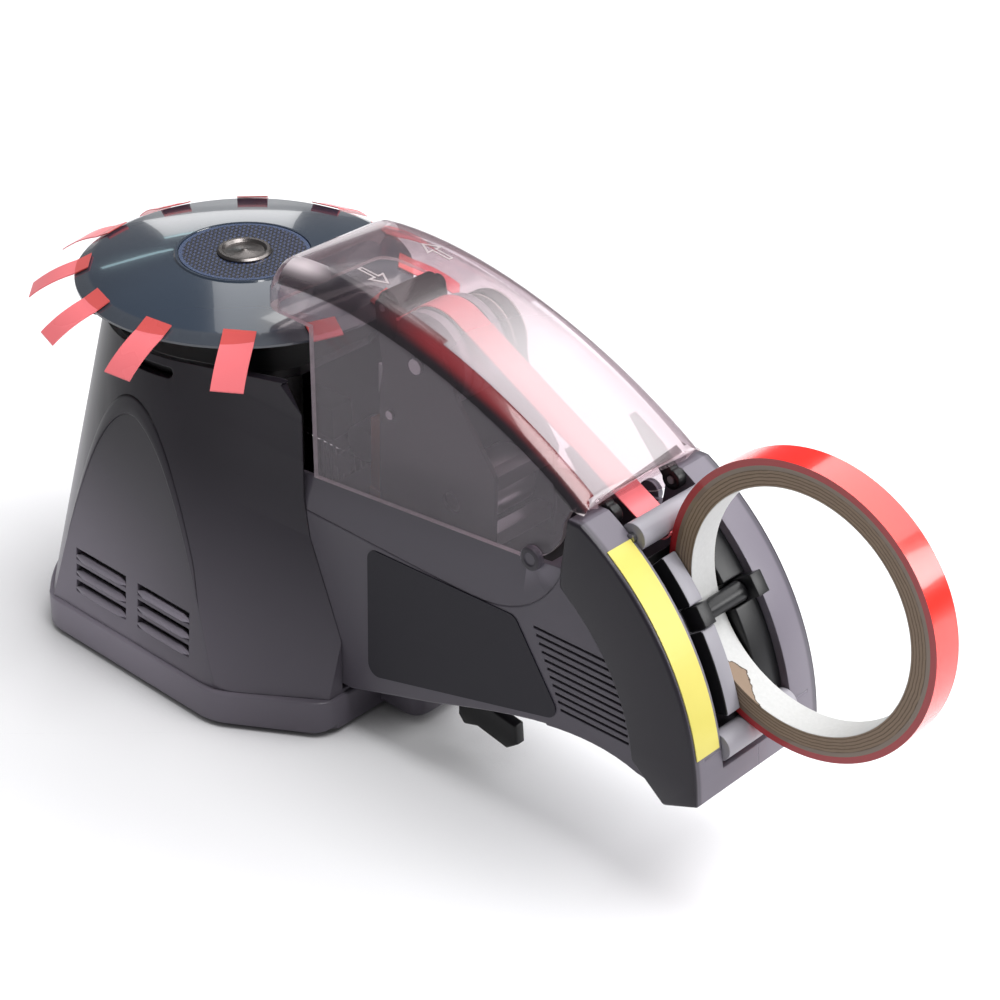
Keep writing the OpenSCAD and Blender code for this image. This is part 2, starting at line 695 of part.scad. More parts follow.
module side_labels() color([0.16, 0.15, 0.18]) in_frame() both()
    across(-arm_w / 2 - label_t, -arm_w / 2) label_outline();

yellow_from = 12.6;
yellow_to = 55.4;
module yellow_strip() color([0.95, 0.90, 0.35]) in_frame()
    across(-tail_w / 2 + 1.6, -window_w / 2 - 1.2)
        tail_ring(tail_r + seat_gap / 2, tail_r + label_t, yellow_from, yellow_to);

module belly_lever() color(dark) in_frame() difference() {
    across(-lever_w / 2, lever_w / 2) union() {
        translate([lever_x, lever_z]) circle(r = 3.6);
        polygon([[lever_x - 3.6, lever_z], [lever_x - 3.6, 10], [lever_x - 1, 7], [lever_x + 5, 9],
            [lever_x + 18, 6.8], [lever_x + 22.5, 10.3], [lever_x + 21.8, 17.5], [lever_x + 8, 19],
            [lever_x + 3.6, lever_z]]);
    }
    bar(lever_x, lever_z, 1.5 + run_gap, -arm_w, arm_w);
}

module lever_pin() color(steel) in_frame() bar(lever_x, lever_z, 1.5, -lever_w / 2 - 3, lever_w / 2 + 3);

floor_w = arm_w - 2 * (wall + scoop_d) - 2 * seat_gap;
module trough_floor() color(dark) in_frame()
    translate([arm_front_x + 4, -floor_w / 2, trough_z - 2]) cube([100, floor_w, 2]);

plate_front_x = cutter_x + 1.6;
plate_rear_x = motor_x + motor_r + 8;
plate_top_z = wheel_z + 9.5;

// Steel side plates with the feed axle, the pinch pivot and the motor
module side_plate(y0) difference() {
    across(y0, y0 + plate_t) polygon([[plate_front_x, trough_z], [plate_rear_x, trough_z],
        [plate_rear_x, motor_z + 16], [wheel_x + 17, wheel_z - 6], [wheel_x + 11, wheel_z + 7],
        [wheel_x + 4, plate_top_z], [wheel_x - 7, plate_top_z], [wheel_x - 13, wheel_z + 2],
        [plate_front_x, pinch_pivot_z + 7]]);
    bar(wheel_x, wheel_z, feed_axle_r + run_gap, -arm_w, arm_w);
    bar(pinch_pivot_x, pinch_pivot_z, 1.5 + run_gap, -arm_w, arm_w);
    bar(motor_x, motor_z, 3.5, -arm_w, arm_w);
}

module plate_near() color(steel) in_frame() side_plate(-plate_w / 2);
module plate_far() color(steel) in_frame() side_plate(plate_w / 2 - plate_t);

// Square bars that hold the two side plates apart
spacer_places = [[plate_front_x + 9, trough_z + 4], [plate_rear_x - 6, trough_z + 6],
    [plate_rear_x - 6, motor_z + 10]];
spacer_w = 5;
module plate_spacers() color(steel) in_frame() for (p = spacer_places)
    translate([p[0], -plate_w / 2 + plate_t, p[1]]) cube([spacer_w, plate_w - 2 * plate_t, spacer_w]);

module feed_motor() color("dimgray") in_frame() difference() {
    union() {
        bar(motor_x, motor_z, motor_r, -plate_w / 2 + plate_t, plate_w / 2 - plate_t);
        bar(motor_x, motor_z, 3.5 - seat_gap, plate_w / 2 - plate_t, plate_w / 2);
    }
    bar(motor_x, motor_z, 1.2 + run_gap, 0, plate_w);
}

module feed_axle() color(steel) in_frame()
    bar(wheel_x, wheel_z, feed_axle_r, -plate_w / 2 - 1, plate_w / 2 + belt_w + 3);

module feed_wheel() color([0.42, 0.41, 0.44]) in_frame() difference() {
    bar(wheel_x, wheel_z, wheel_r, -wheel_w / 2, wheel_w / 2);
    bar(wheel_x, wheel_z, feed_axle_r + run_gap, -wheel_w, wheel_w);
    for (y = [-6, 0, 6]) translate([wheel_x, y + 0.6, wheel_z]) rotate([90, 0, 0]) difference() {
        cylinder(r = wheel_r + 1, h = 1.2);
        translate([0, 0, -1]) cylinder(r = wheel_r - 0.8, h = 4);
    }
}

belt_y = plate_w / 2 + 1;

module pulley(x, z, r, bore) difference() {
    union() {
        bar(x, z, r, belt_y, belt_y + belt_w + 1);
        bar(x, z, r + 1.2, belt_y - 0.6, belt_y);
        bar(x, z, r + 1.2, belt_y + belt_w + 1, belt_y + belt_w + 1.6);
    }
    bar(x, z, bore, 0, 2 * plate_w);
}

module feed_pulley() color("white") in_frame()
    pulley(wheel_x, wheel_z, wheel_pulley_r, feed_axle_r + run_gap);
module motor_pulley() color("white") in_frame() {
    pulley(motor_x, motor_z, motor_pulley_r, 1.2);
    bar(motor_x, motor_z, 1.2, 2, belt_y + belt_w + 1.6);
}

// Loop round the two pulleys, as the outline of two circles and their outer tangents
belt_run = norm([motor_x - wheel_x, motor_z - wheel_z]);
belt_dir = atan2(motor_z - wheel_z, motor_x - wheel_x);
belt_open = acos((wheel_pulley_r - motor_pulley_r) / belt_run);
module belt_loop(out) polygon(concat(
    arc(wheel_x, wheel_z, wheel_pulley_r + out, belt_dir + belt_open, belt_dir + 360 - belt_open, 32),
    arc(motor_x, motor_z, motor_pulley_r + out, belt_dir - belt_open, belt_dir + belt_open, 16)));

module drive_belt() color("black") in_frame() across(belt_y + 0.5, belt_y + 0.5 + belt_w) difference() {
    belt_loop(pass_gap + belt_t);
    belt_loop(pass_gap);
}

arm_in = wheel_w / 2 + pass_gap + 0.2;
arm_out = plate_w / 2 - plate_t - pass_gap;

// Two cheeks of the pinch arm, joined below the pivot
module pinch_arm() color("slategray") in_frame() difference() {
    union() {
        both() across(-arm_out, -arm_in) union() {
            translate([pinch_x, pinch_z]) circle(r = 3);
            translate([pinch_pivot_x, pinch_pivot_z]) circle(r = 3.5);
            polygon([[pinch_x - 3, pinch_z], [pinch_x + 3, pinch_z],
                [pinch_pivot_x + 3.5, pinch_pivot_z], [pinch_pivot_x - 3.5, pinch_pivot_z]]);
            polygon([[pinch_pivot_x - 3.5, pinch_pivot_z], [pinch_pivot_x + 3.5, pinch_pivot_z],
                [pinch_pivot_x + 3.5, pinch_pivot_z - 12], [pinch_pivot_x, pinch_pivot_z - 12]]);
        }
        across(-arm_out, arm_out) translate([pinch_pivot_x + 0.8, pinch_pivot_z - 12]) square([2.7, 6]);
    }
    bar(pinch_x, pinch_z, 1.2 + seat_gap, -arm_w, arm_w);
    bar(pinch_pivot_x, pinch_pivot_z, 1.5 + run_gap, -arm_w, arm_w);
}

module pinch_pin() color(steel) in_frame() bar(pinch_x, pinch_z, 1.2, -arm_out, arm_out);
module pinch_roller() color("darkslategray") in_frame() difference() {
    bar(pinch_x, pinch_z, pinch_r, -wheel_w / 2, wheel_w / 2);
    bar(pinch_x, pinch_z, 1.2 + run_gap, -arm_w, arm_w);
}
module pinch_pivot() color(steel) in_frame()
    bar(pinch_pivot_x, pinch_pivot_z, 1.5, -plate_w / 2 - 1, plate_w / 2 + 1);

solenoid_top_z = 108;
carrier_z = 118;
carrier_h = 10;
cutter_w = 16;
rod_y = 6;

module cutter_solenoid() color("saddlebrown") in_frame() difference() {
    union() {
        translate([cutter_x - 8, -10, trough_z]) cube([9, 20, 3]);
        translate([cutter_x - 8, -9, trough_z]) cube([9, 18, solenoid_top_z - trough_z]);
    }
    translate([cutter_x - 3, 0, trough_z + 6]) cylinder(r = 2.5 + run_gap, h = 60);
    for (s = [-1, 1]) translate([cutter_x - 3, s * rod_y, solenoid_top_z - 8])
        cylinder(r = 1 + run_gap, h = 20);
}

module guide_rods() color(steel) in_frame() for (s = [-1, 1])
    translate([cutter_x - 3, s * rod_y, solenoid_top_z - 7])
        cylinder(r = 1, h = carrier_z - solenoid_top_z + 7 + carrier_h + cutter_travel);

module cutter_plunger() color("silver") in_frame() difference() {
    union() {
        translate([cutter_x - 3, 0, solenoid_top_z - 14])
            cylinder(r = 2.5, h = carrier_z - solenoid_top_z + 14);
        translate([cutter_x - 5.4, -cutter_w / 2, carrier_z]) cube([5, cutter_w, carrier_h]);
    }
    for (s = [-1, 1]) translate([cutter_x - 3, s * rod_y, carrier_z - 1])
        cylinder(r = 1 + run_gap, h = carrier_h + 2);
}

blade_teeth = 8;
module cutter_blade() color("lightgray") in_frame()
    translate([cutter_x - 0.4, 0, carrier_z]) rotate([90, 0, 90]) linear_extrude(0.8)
    polygon(concat([[-cutter_w / 2, 0]], [for (i = [0 : 2 * blade_teeth])
        [-cutter_w / 2 + cutter_w * i / (2 * blade_teeth), carrier_h + 4 + 1.2 * (i % 2)]],
        [[cutter_w / 2, 0]]));

// Clear cover: sections across Y along the roof line, from the nose to the rear end
cover_steps = 20;
roof_line = curve([nose_x + 7, cover_top_z - 0.5], [85, cover_top_z + 4.5], [135, 150],
    [cover_rear_x, cover_rear_z], cover_steps);
function roof(i) = roof_line[i];
nose_steps = 4;
function section(x, top, half, rise, inset) =
    let(w = half - inset, z = top - inset, low = cover_low_z - 10, sw = shoulder_w)
    [for (p = concat([[-w, low]],
        [for (i = [0 : 6]) let(a = 180 - 15 * i) [-w + sw + sw * cos(a), z - rise + rise * sin(a)]],
        [for (i = [0 : 6]) let(a = 90 - 15 * i) [w - sw + sw * cos(a), z - rise + rise * sin(a)]],
        [[w, low]])) [x, p[0], p[1]]];
function nose(i, inset) = let(a = 90 * i / nose_steps, r = roof(0))
    section(nose_x + inset + (r[0] - nose_x) * (1 - cos(a)), nose_z + 2 + (r[1] - nose_z - 2) * sin(a),
        cover_w / 2 - 5 + 5 * sin(a), 2 + (shoulder_h - 2) * sin(a), inset);
function rise_at(i) = shoulder_h - (shoulder_h - 5) * i / cover_steps;

module cover_solid(inset, tail) loft(concat([for (i = [0 : nose_steps - 1]) nose(i, inset)],
    [for (i = [0 : cover_steps])
        section(roof(i)[0] + (i == cover_steps ? tail : 0), roof(i)[1], cover_w / 2, rise_at(i), inset)]));

module clear_cover() color([0.75, 0.68, 0.70, 0.45]) in_frame() difference() {
    cover_solid(0, 0);
    cover_solid(cover_t, 4);
    // Open below, with the front edge of the side panels behind the disc
    across(-arm_w, arm_w) polygon([[0, 0], [cover_rear_x + 30, 0], [cover_rear_x + 30, hinge_z + 4.9],
        [hinge_x - 4.5, hinge_z + 4.5], [cheek_front_x - 3, hinge_z - 1], [cheek_front_x - 3.4, 112],
        [158, 104], [148, cover_low(148)], [cover_front_x + 1, cover_low(cover_front_x + 1)],
        [cover_front_x, nose_z], [0, nose_z]]);
}

// Eyes of the cover, between the cheeks
eye_out = window_w / 2 - pass_gap;
eye_t = 3.6;
module hinge_eyes() color(dark) in_frame() both() difference() {
    across(-eye_out, -eye_out + eye_t) union() {
        translate([hinge_x, hinge_z]) circle(r = hinge_eye_r);
        polygon(concat([[hinge_x - hinge_eye_r, hinge_z], [hinge_x + hinge_eye_r, hinge_z]],
            [for (i = [cover_steps - 1 : -1 : cover_steps - 3]) roof(i) - [0, cover_t + seat_gap]]));
    }
    bar(hinge_x, hinge_z, hinge_pin_r + run_gap, -arm_w, arm_w);
}

module hinge_pins() color(steel) in_frame() both()
    bar(hinge_x, hinge_z, hinge_pin_r, -window_w / 2 - 6, -eye_out + eye_t);

roller_l = window_w - 2 * pass_gap;
module tail_roller(x, z) difference() {
    bar(x, z, roller_r, -roller_l / 2, roller_l / 2);
    bar(x, z, axle_r + run_gap, -arm_w, arm_w);
}
module upper_roller() color([0.45, 0.44, 0.47]) in_frame() tail_roller(upper_x, upper_z);
module lower_roller() color([0.45, 0.44, 0.47]) in_frame() tail_roller(lower_x, lower_z);
module roller_axles() color(steel) in_frame() {
    bar(upper_x, upper_z, axle_r, -window_w / 2 - upper_seat, window_w / 2 + upper_seat);
    bar(lower_x, lower_z, axle_r, -window_w / 2 - lower_seat, window_w / 2 + lower_seat);
}

// Curved rail inside the window, with a guide on each side of the roll
rail_t = 5;
module guide_rail() color(dark) in_frame()
    across(-window_w / 2 + seat_gap, window_w / 2 - seat_gap)
        tail_ring(guide_r - rail_t, guide_r - seat_gap, 15, 52);

guide_y = -tape_w / 2 - pass_gap - guide_t;
module rod_notch() translate([tail_x, tail_z]) rotate(rod_angle)
    translate([norm([rod_x - tail_x, rod_z - tail_z]) - rod_end / 2 - pass_gap, -rod_end / 2 - pass_gap])
        square([40, rod_end + 2 * pass_gap]);

module near_guide() color([0.48, 0.47, 0.50]) in_frame() across(guide_y, guide_y + guide_t) difference() {
    tail_ring(guide_r, tail_r - 0.2, 17, 49.5);
    rod_notch();
}

module far_guide() color("black") in_frame()
    across(tape_w / 2 + pass_gap + 0.6, window_w / 2 - seat_gap) difference() {
        tail_ring(guide_r, tail_r - 2.5, 15, 52);
        rod_notch();
    }

rod_near_y = guide_y + 0.5;
rod_far_y = window_w / 2 - 1;
module retainer_rod() color("black") in_frame() union() {
    bar(rod_x, rod_z, rod_r, rod_near_y, rod_far_y);
    translate([rod_x, 0, rod_z]) rotate([0, -rod_angle, 0]) {
        translate([-rod_end / 2, rod_near_y, -rod_end / 2]) cube([rod_end, guide_t - 1, rod_end]);
        translate([-rod_end / 2, rod_far_y - 5, -rod_end / 2]) cube([rod_end + 3, 5, rod_end]);
    }
}

module roll_ring(r0, r1) difference() {
    bar(roll_x, roll_z, r1, -tape_w / 2, tape_w / 2);
    bar(roll_x, roll_z, r0, -tape_w, tape_w);
}
module tape_roll() color(red) in_frame() roll_ring(core_out_r, roll_r);
module roll_core() color([0.55, 0.42, 0.32]) in_frame() roll_ring(core_in_r - lining_t, core_out_r);

// Tape web: round the upper roller, straight to the wheel, over it and down to the cutter
web_out = pass_gap + tape_t;
cross_dist = norm([upper_x - wheel_x, upper_z - wheel_z]);
cross_dir = atan2(upper_z - wheel_z, upper_x - wheel_x);
cross_at = cross_dir + acos((wheel_r + roller_r + 2 * pass_gap + tape_t) / cross_dist);
nip_at = atan2(roll_z - upper_z, roll_x - upper_x);
web_lead = 4;
web_end_dir = [cos(pinch_at + 90), sin(pinch_at + 90)];
function web_side(inner) =
    let(w = wheel_r + pass_gap + (inner ? 0 : tape_t), u = roller_r + pass_gap + (inner ? tape_t : 0))
    concat(arc(upper_x, upper_z, u, nip_at - 4, cross_at - 180, 20),
        arc(wheel_x, wheel_z, w, cross_at, pinch_at, 20),
        [[wheel_x, wheel_z] + w * [cos(pinch_at), sin(pinch_at)] + web_lead * web_end_dir]);
module tape_web() color(red) in_frame() across(-tape_w / 2, tape_w / 2)
    polygon(concat(web_side(false), [for (i = [len(web_side(true)) - 1 : -1 : 0]) web_side(true)[i]]));

tower_shell();
base_tray();
ballast_plate();
rubber_feet();
base_screws();
top_deck();
deck_bush();
carousel_motor();
strip_sensor();
circuit_board();
board_spacers();
dc_inlet();
switch_frame();
power_switch();
knob_spindle();
length_knob();
carousel_disc();
disc_label();
disc_cap();
disc_hub();
carousel_shaft();
tape_strips();
arm_shell_near();
arm_shell_far();
side_labels();
yellow_strip();
belly_lever();
lever_pin();
trough_floor();
plate_near();
plate_far();
plate_spacers();
feed_motor();
feed_axle();
feed_wheel();
feed_pulley();
motor_pulley();
drive_belt();
pinch_arm();
pinch_pin();
pinch_roller();
pinch_pivot();
cutter_solenoid();
guide_rods();
cutter_plunger();
cutter_blade();
clear_cover();
hinge_eyes();
hinge_pins();
upper_roller();
lower_roller();
roller_axles();
guide_rail();
near_guide();
far_guide();
retainer_rod();
tape_roll();
roll_core();
tape_web();
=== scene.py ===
# %% [markdown]
# # Dressing an electric tape dispenser
# The solids of the machine come from the imported model, in metres, and stay where they are.
# This lesson gives them their looks: soft moulded edges, plastics, film, paper and steel.

# %% Load the solids
import bmesh
import bpy
import json
import math
from mathutils import Matrix, Vector


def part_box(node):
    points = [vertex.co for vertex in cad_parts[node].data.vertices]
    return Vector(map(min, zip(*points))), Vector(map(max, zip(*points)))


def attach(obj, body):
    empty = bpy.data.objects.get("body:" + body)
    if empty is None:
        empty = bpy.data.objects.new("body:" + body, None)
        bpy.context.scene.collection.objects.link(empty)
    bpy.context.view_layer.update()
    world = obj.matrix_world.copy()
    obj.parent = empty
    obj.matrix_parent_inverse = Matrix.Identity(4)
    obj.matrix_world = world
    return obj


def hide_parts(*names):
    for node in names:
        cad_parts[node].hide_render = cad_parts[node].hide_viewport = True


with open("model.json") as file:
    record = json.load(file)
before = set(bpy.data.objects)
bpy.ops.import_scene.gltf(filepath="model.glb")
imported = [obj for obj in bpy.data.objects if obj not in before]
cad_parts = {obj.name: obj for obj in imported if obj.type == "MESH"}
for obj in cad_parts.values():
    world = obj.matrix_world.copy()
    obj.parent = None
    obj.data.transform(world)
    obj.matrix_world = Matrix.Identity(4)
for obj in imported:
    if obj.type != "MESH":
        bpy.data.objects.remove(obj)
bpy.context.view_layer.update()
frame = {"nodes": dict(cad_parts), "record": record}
nodes = frame["nodes"]
body_of = {n: b for b, members in frame["record"]["behaviour"]["bodies"].items() for n in members}
slot_of = {s["node"]: s["material_slot"] for s in frame["record"]["subparts"]}

# %% [markdown]
# ## The camera
# The photograph was taken from the right of the tail, a little above the machine.
# The view was worked out from straight edges: its turn, its height, its small roll and its lens.
# A camera matrix is built from these angles, because that leaves nothing to guess at.

# %% Set the camera at the photograph's angle
MM = 0.001
DISC_LOW, DISC_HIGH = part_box("carousel_disc")
AXIS_X = (DISC_LOW.x + DISC_HIGH.x) / 2  # the carousel's axis in the part's frame
TURN, HEIGHT, TILT = (math.radians(a) for a in (42.161, 30.882, 1.235))
LENS, SENSOR = 91.8, 36
CLIP_START = 0.01
STAND_OFF = 791.94 * MM
AIM = Vector((AXIS_X + 115.109 * MM, 0, 93.814 * MM))

back = Vector((math.sin(TURN) * math.cos(HEIGHT), -math.cos(TURN) * math.cos(HEIGHT), math.sin(HEIGHT)))
level = Vector((math.cos(TURN), math.sin(TURN), 0))
rise = back.cross(level)
right = level * math.cos(TILT) + rise * math.sin(TILT)
up = back.cross(right)


def put(name, data):
    """Set an object with this data into the scene."""
    piece = bpy.data.objects.new(name, data)
    bpy.context.scene.collection.objects.link(piece)
    return piece


camera_data = bpy.data.cameras.new("photo_camera")
camera_data.lens, camera_data.sensor_width, camera_data.clip_start = LENS, SENSOR, CLIP_START
camera = put("photo_camera", camera_data)
aimed = Matrix((right, up, back)).transposed().to_4x4()
camera.matrix_world = Matrix.Translation(AIM + back * STAND_OFF) @ aimed
bpy.context.scene.camera = camera
print("camera", [round(c, 4) for c in camera.location])

# %% [markdown]
# ## Shader maths as Python
# A material is a graph of nodes, and maths in it is easier to read as an expression.
# The class below wraps one output socket: adding or multiplying two of them adds a Math node.

# %% A small class for shader maths
class Wire:
    """One output socket of a material's graph."""

    def __init__(self, paint, socket):
        self.paint, self.socket = paint, socket

    def math(self, operation, *others):
        inputs = {i: value for i, value in enumerate((self,) + others)}
        return self.paint.node("ShaderNodeMath", dict(operation=operation), inputs)

    def __add__(self, other):
        return self.math("ADD", other)

    __radd__ = __add__

    def __mul__(self, other):
        return self.math("MULTIPLY", other)

    __rmul__ = __mul__

    def __sub__(self, other):
        return self.math("SUBTRACT", other)

    def __rsub__(self, other):
        return (self * -1.0).math("ADD", other)

    def __pow__(self, other):
        return self.math("POWER", other)

    def above(self, limit):
        return self.math("GREATER_THAN", limit)

    def below(self, limit):
        return self.math("LESS_THAN", limit)

    def fract(self):
        return self.math("FRACT")

    def abs(self):
        return self.math("ABSOLUTE")

    def angle_to(self, other):
        """The angle of the point (other, self) round the origin, in radians."""
        return self.math("ARCTAN2", other)

    def most(self, other):
        return self.math("MAXIMUM", other)

    def smooth(self, low, high):
        """0 below low, 1 above high, and a soft step between them."""
        step = dict(interpolation_type="SMOOTHSTEP", clamp=True)
        limits = {"Value": self, "From Min": low, "From Max": high, "To Min": 0.0, "To Max": 1.0}
        return self.paint.node("ShaderNodeMapRange", step, limits)


print("shader maths ready")

# %% [markdown]
# ## A material as a class
# Each finish is a material with one Principled shader, and its sockets are set by their names.
# Any other node comes from `node`, which takes its type, its settings and its inputs.
# Noise and place are in metres on the piece itself, so a grain has the same size everywhere
# and moves with its piece.

# %% A class for a material and its graph
class Paint:
    """A material and its graph, with one Principled shader."""

    def __init__(self, name, **constants):
        self.material = bpy.data.materials.new(name)
        self.material.use_nodes = True
        self.tree = self.material.node_tree
        self.tree.nodes.clear()
        self.out = self.tree.nodes.new("ShaderNodeOutputMaterial")
        self.shader = self.tree.nodes.new("ShaderNodeBsdfPrincipled")
        self.principled = Wire(self, self.shader.outputs[0])
        self.join(self.out.inputs["Surface"], self.principled)
        self.set(**constants)

    def join(self, socket, value):
        if isinstance(value, Wire):
            self.tree.links.new(value.socket, socket)
        else:
            if isinstance(value, tuple) and len(value) == 3 and len(socket.default_value) == 4:
                value = value + (1.0,)
            socket.default_value = value

    def node(self, kind, settings=None, inputs=None, out=0):
        made = self.tree.nodes.new(kind)
        for key, value in (settings or {}).items():
            setattr(made, key, value)
        for key, value in (inputs or {}).items():
            self.join(made.inputs[key], value)
        return Wire(self, made.outputs[out])

    def set(self, **sockets):
        for key, value in sockets.items():
            self.join(self.shader.inputs[key.replace("_", " ").title().replace("Ior", "IOR")], value)

    def place(self):
        """The point on the piece, in metres, in the part's own frame."""
        return self.node("ShaderNodeTexCoord", out="Object")

    def xyz(self):
        place = self.place()
        return tuple(self.node("ShaderNodeSeparateXYZ", None, {0: place}, out=axis) for axis in "XYZ")

    def noise(self, scale, detail=3.0, roughness=0.55, vector=None):
        return self.node("ShaderNodeTexNoise", None, {"Vector": vector or self.place(), "Scale": scale,
                                                      "Detail": detail, "Roughness": roughness})

    def stretch(self, x, y, z):
        return self.node("ShaderNodeMapping", None, {"Vector": self.place(), "Scale": (x, y, z)})

    def mix(self, factor, first, second):
        """A blend of two colours. A Mix node takes colours at sockets 6 and 7, and gives one at 2."""
        return self.node("ShaderNodeMix", dict(data_type="RGBA"), {0: factor, 6: first, 7: second}, out=2)

    def bump(self, height, distance, strength=1.0, soft_edge=0.0):
        """A normal from a height, laid over edges that look rounded where soft_edge is given."""
        inputs = {"Height": height, "Distance": distance, "Strength": strength}
        if soft_edge:
            inputs["Normal"] = self.node("ShaderNodeBevel", dict(samples=6), {"Radius": soft_edge})
        return self.node("ShaderNodeBump", None, inputs)

    def blend(self, factor, first, second):
        """Send a mix of two shaders to the surface."""
        mixed = self.node("ShaderNodeMixShader", None, {0: factor, 1: first, 2: second})
        self.join(self.out.inputs["Surface"], mixed)

    def over_clear(self, factor, tint):
        """Lay the Principled shader over a tinted clear one, by a factor."""
        clear = self.node("ShaderNodeBsdfTransparent", None, {"Color": tint})
        self.blend(factor, clear, self.principled)


print("materials ready to be made")

# %% [markdown]
# ## Moulded plastics
# The housing is a warm dark grey plastic with a fine spark-eroded grain and a half gloss.
# Grain is a noise at well under a millimetre, used as bump and as a little roughness.
# A Bevel node turns the normal a little at each edge, which looks like the small radius of a moulding.

# %% Plastics of the small pieces
GRAIN = 0.01 * MM  # depth of a fine moulded or printed grain
SMALL_RADIUS = 0.4 * MM
PATCHY = 0.12  # how far the tone of a small piece drifts, up or down


def shade(colour, by):
    return tuple(min(1.0, c * by) for c in colour)


def moulded(name, colour, roughness, grain=GRAIN, grain_scale=5200.0):
    paint = Paint(name, specular_ior_level=0.3)
    broad = paint.noise(18.0, 2.0)
    fine = paint.noise(grain_scale, 2.0)
    tone = paint.mix(broad.smooth(0.3, 0.7), shade(colour, 1 - PATCHY), shade(colour, 1 + PATCHY))
    paint.set(base_color=tone, roughness=roughness + (fine - 0.5) * 0.10 + (broad - 0.5) * 0.10,
              normal=paint.bump(fine, grain, 0.5, SMALL_RADIUS))
    return paint.material


finish = {
    "black_plastic": moulded("black_plastic", (0.006, 0.006, 0.007), 0.34),
    # The louvre lips are the housing plastic, painted paler as painted light on their tops.
    "louvre_grey": moulded("louvre_grey", (0.230, 0.208, 0.248), 0.34),
    "guide_grey": moulded("guide_grey", (0.27, 0.26, 0.29), 0.36),
    "white_plastic": moulded("white_plastic", (0.55, 0.54, 0.50), 0.45),
    "rubber": moulded("rubber", (0.022, 0.022, 0.022), 0.75, 6 * GRAIN, 1500.0),
}
print("plastics", sorted(finish))

# %% [markdown]
# ## The housing
# Tower, tray and arm are one grey plastic, but a large glossy wall never looks even.
# The foot of the tower is painted paler, a painted reflection of the bright table, and its tone sinks slowly
# towards the top.
# Tower and tray are painted darker towards the tail, as painted shade. A rule on the place gives each piece
# that drift, so it holds from every side.
# The outer faces of the tail's cheeks are set darker than the arm, and the faces between the cheeks are
# painted paler, as painted light.

# %% Greys of the tower, the tray and the arm
DEEP = (0.016, 0.0135, 0.019)
HOUSING_RADIUS = 0.5 * MM
TAIL_X = 150.0 * MM
CHEEK_FROM, CHEEK_TO = 28.1 * MM, 28.8 * MM
INNER_FROM, INNER_TO = 26.2 * MM, 27.5 * MM


def grey_plastic(name, tone):
    """A housing grey whose depth comes from a rule on the place, which paints light and shade into it: 0 is
    deep and 1 is pale.
    """
    paint = Paint(name, specular_ior_level=0.22, coat_weight=0.08, coat_roughness=0.2)
    x, y, z = paint.xyz()
    slow = paint.noise(7.0, 1.0)
    fine = paint.noise(4200.0, 2.0)
    colour, amount = tone(x - AXIS_X, y, z, (slow - 0.5) * 0.03)
    paint.set(base_color=paint.mix(amount, DEEP, colour),
              roughness=0.34 + (fine - 0.5) * 0.06 + (slow - 0.5) * 0.05,
              normal=paint.bump(fine, GRAIN, 0.35, HOUSING_RADIUS))
    return paint.material


def tower_tone_and_painted_light(x, y, z, bend):
    # The foot of the tower is painted paler, a painted reflection of the bright table.
    low = 1.0 - (z + x * 0.15 + bend).smooth(-0.005, 0.098)
    # Towards the tail the tower is painted darker, as painted shade.
    front = 1.0 - x.smooth(-0.030, 0.060) * 0.65
    return (0.250, 0.226, 0.270), low * front


def tray_tone_and_painted_shade(x, y, z, bend):
    # The tray is painted darker towards the tail, as painted shade.
    return (0.265, 0.240, 0.286), 1.0 - (x + bend).smooth(-0.020, 0.070) * 0.65


def arm_tone_and_painted_light(x, y, z, bend):
    tail = x.above(TAIL_X)
    cheek = y.abs().smooth(CHEEK_FROM, CHEEK_TO) * tail
    # The faces between the cheeks are painted paler, as painted light; the outer faces of the cheeks are set
    # deep.
    inside = (1.0 - y.abs().smooth(INNER_FROM, INNER_TO)) * tail
    return (0.165, 0.150, 0.181), (1.0 - cheek) * (0.42 + inside * 0.46 + bend * 4.0)


greys = {"tower_shell": grey_plastic("tower_grey", tower_tone_and_painted_light),
         "base_tray": grey_plastic("tray_grey", tray_tone_and_painted_shade)}
finish["body_grey"] = grey_plastic("body_grey", arm_tone_and_painted_light)
print("housing greys ready")

# %% [markdown]
# ## Metal
# Plates, pins and shafts are plain steel, bushes are brass, and the cap of the disc is a dark turned metal.
# Brushing shows as long thin streaks, so the noise is stretched fifty times along one axis.
# Turning shows as fine rings round the axis instead.

# %% Steel, brass and the turned cap
def brushed(name, colour, roughness):
    paint = Paint(name, metallic=1.0)
    streak = paint.noise(900.0, 3.0, vector=paint.stretch(0.02, 1.0, 1.0))
    paint.set(base_color=paint.mix(streak, shade(colour, 0.82), colour),
              roughness=roughness + (streak - 0.5) * 0.2,
              normal=paint.bump(streak, GRAIN, 0.5))
    return paint.material


def axis_distance(paint):
    x, y, z = paint.xyz()
    return ((x - AXIS_X) * (x - AXIS_X) + y * y) ** 0.5


TURNING_PITCH = 0.18 * MM


def turned(name, colour, roughness):
    paint = Paint(name, metallic=1.0)
    ring = (axis_distance(paint) * (1.0 / TURNING_PITCH)).fract()
    paint.set(base_color=paint.mix(ring, shade(colour, 0.75), colour), roughness=roughness + ring * 0.08,
              normal=paint.bump(ring, GRAIN, 0.4))
    return paint.material


finish["steel"] = brushed("steel", (0.42, 0.42, 0.43), 0.34)
finish["brass"] = brushed("brass", (0.66, 0.47, 0.19), 0.30)
finish["cap_metal"] = turned("cap_metal", (0.17, 0.155, 0.15), 0.24)
print("metals ready")

# %% [markdown]
# ## The carousel disc
# The disc is a glossy slate-blue moulding, and its print is a navy weave under a clear coat.
# A picture of the weave would do, but maths stays sharp at any size, so it is a chequer of short ribs,
# made from the fractions of two scaled coordinates.

# %% Disc and its printed ring
SKIRT_FROM, SKIRT_TO = 50.5 * MM, 51.5 * MM
RIB = 1.3 * MM
PRINT_R = 20.3 * MM


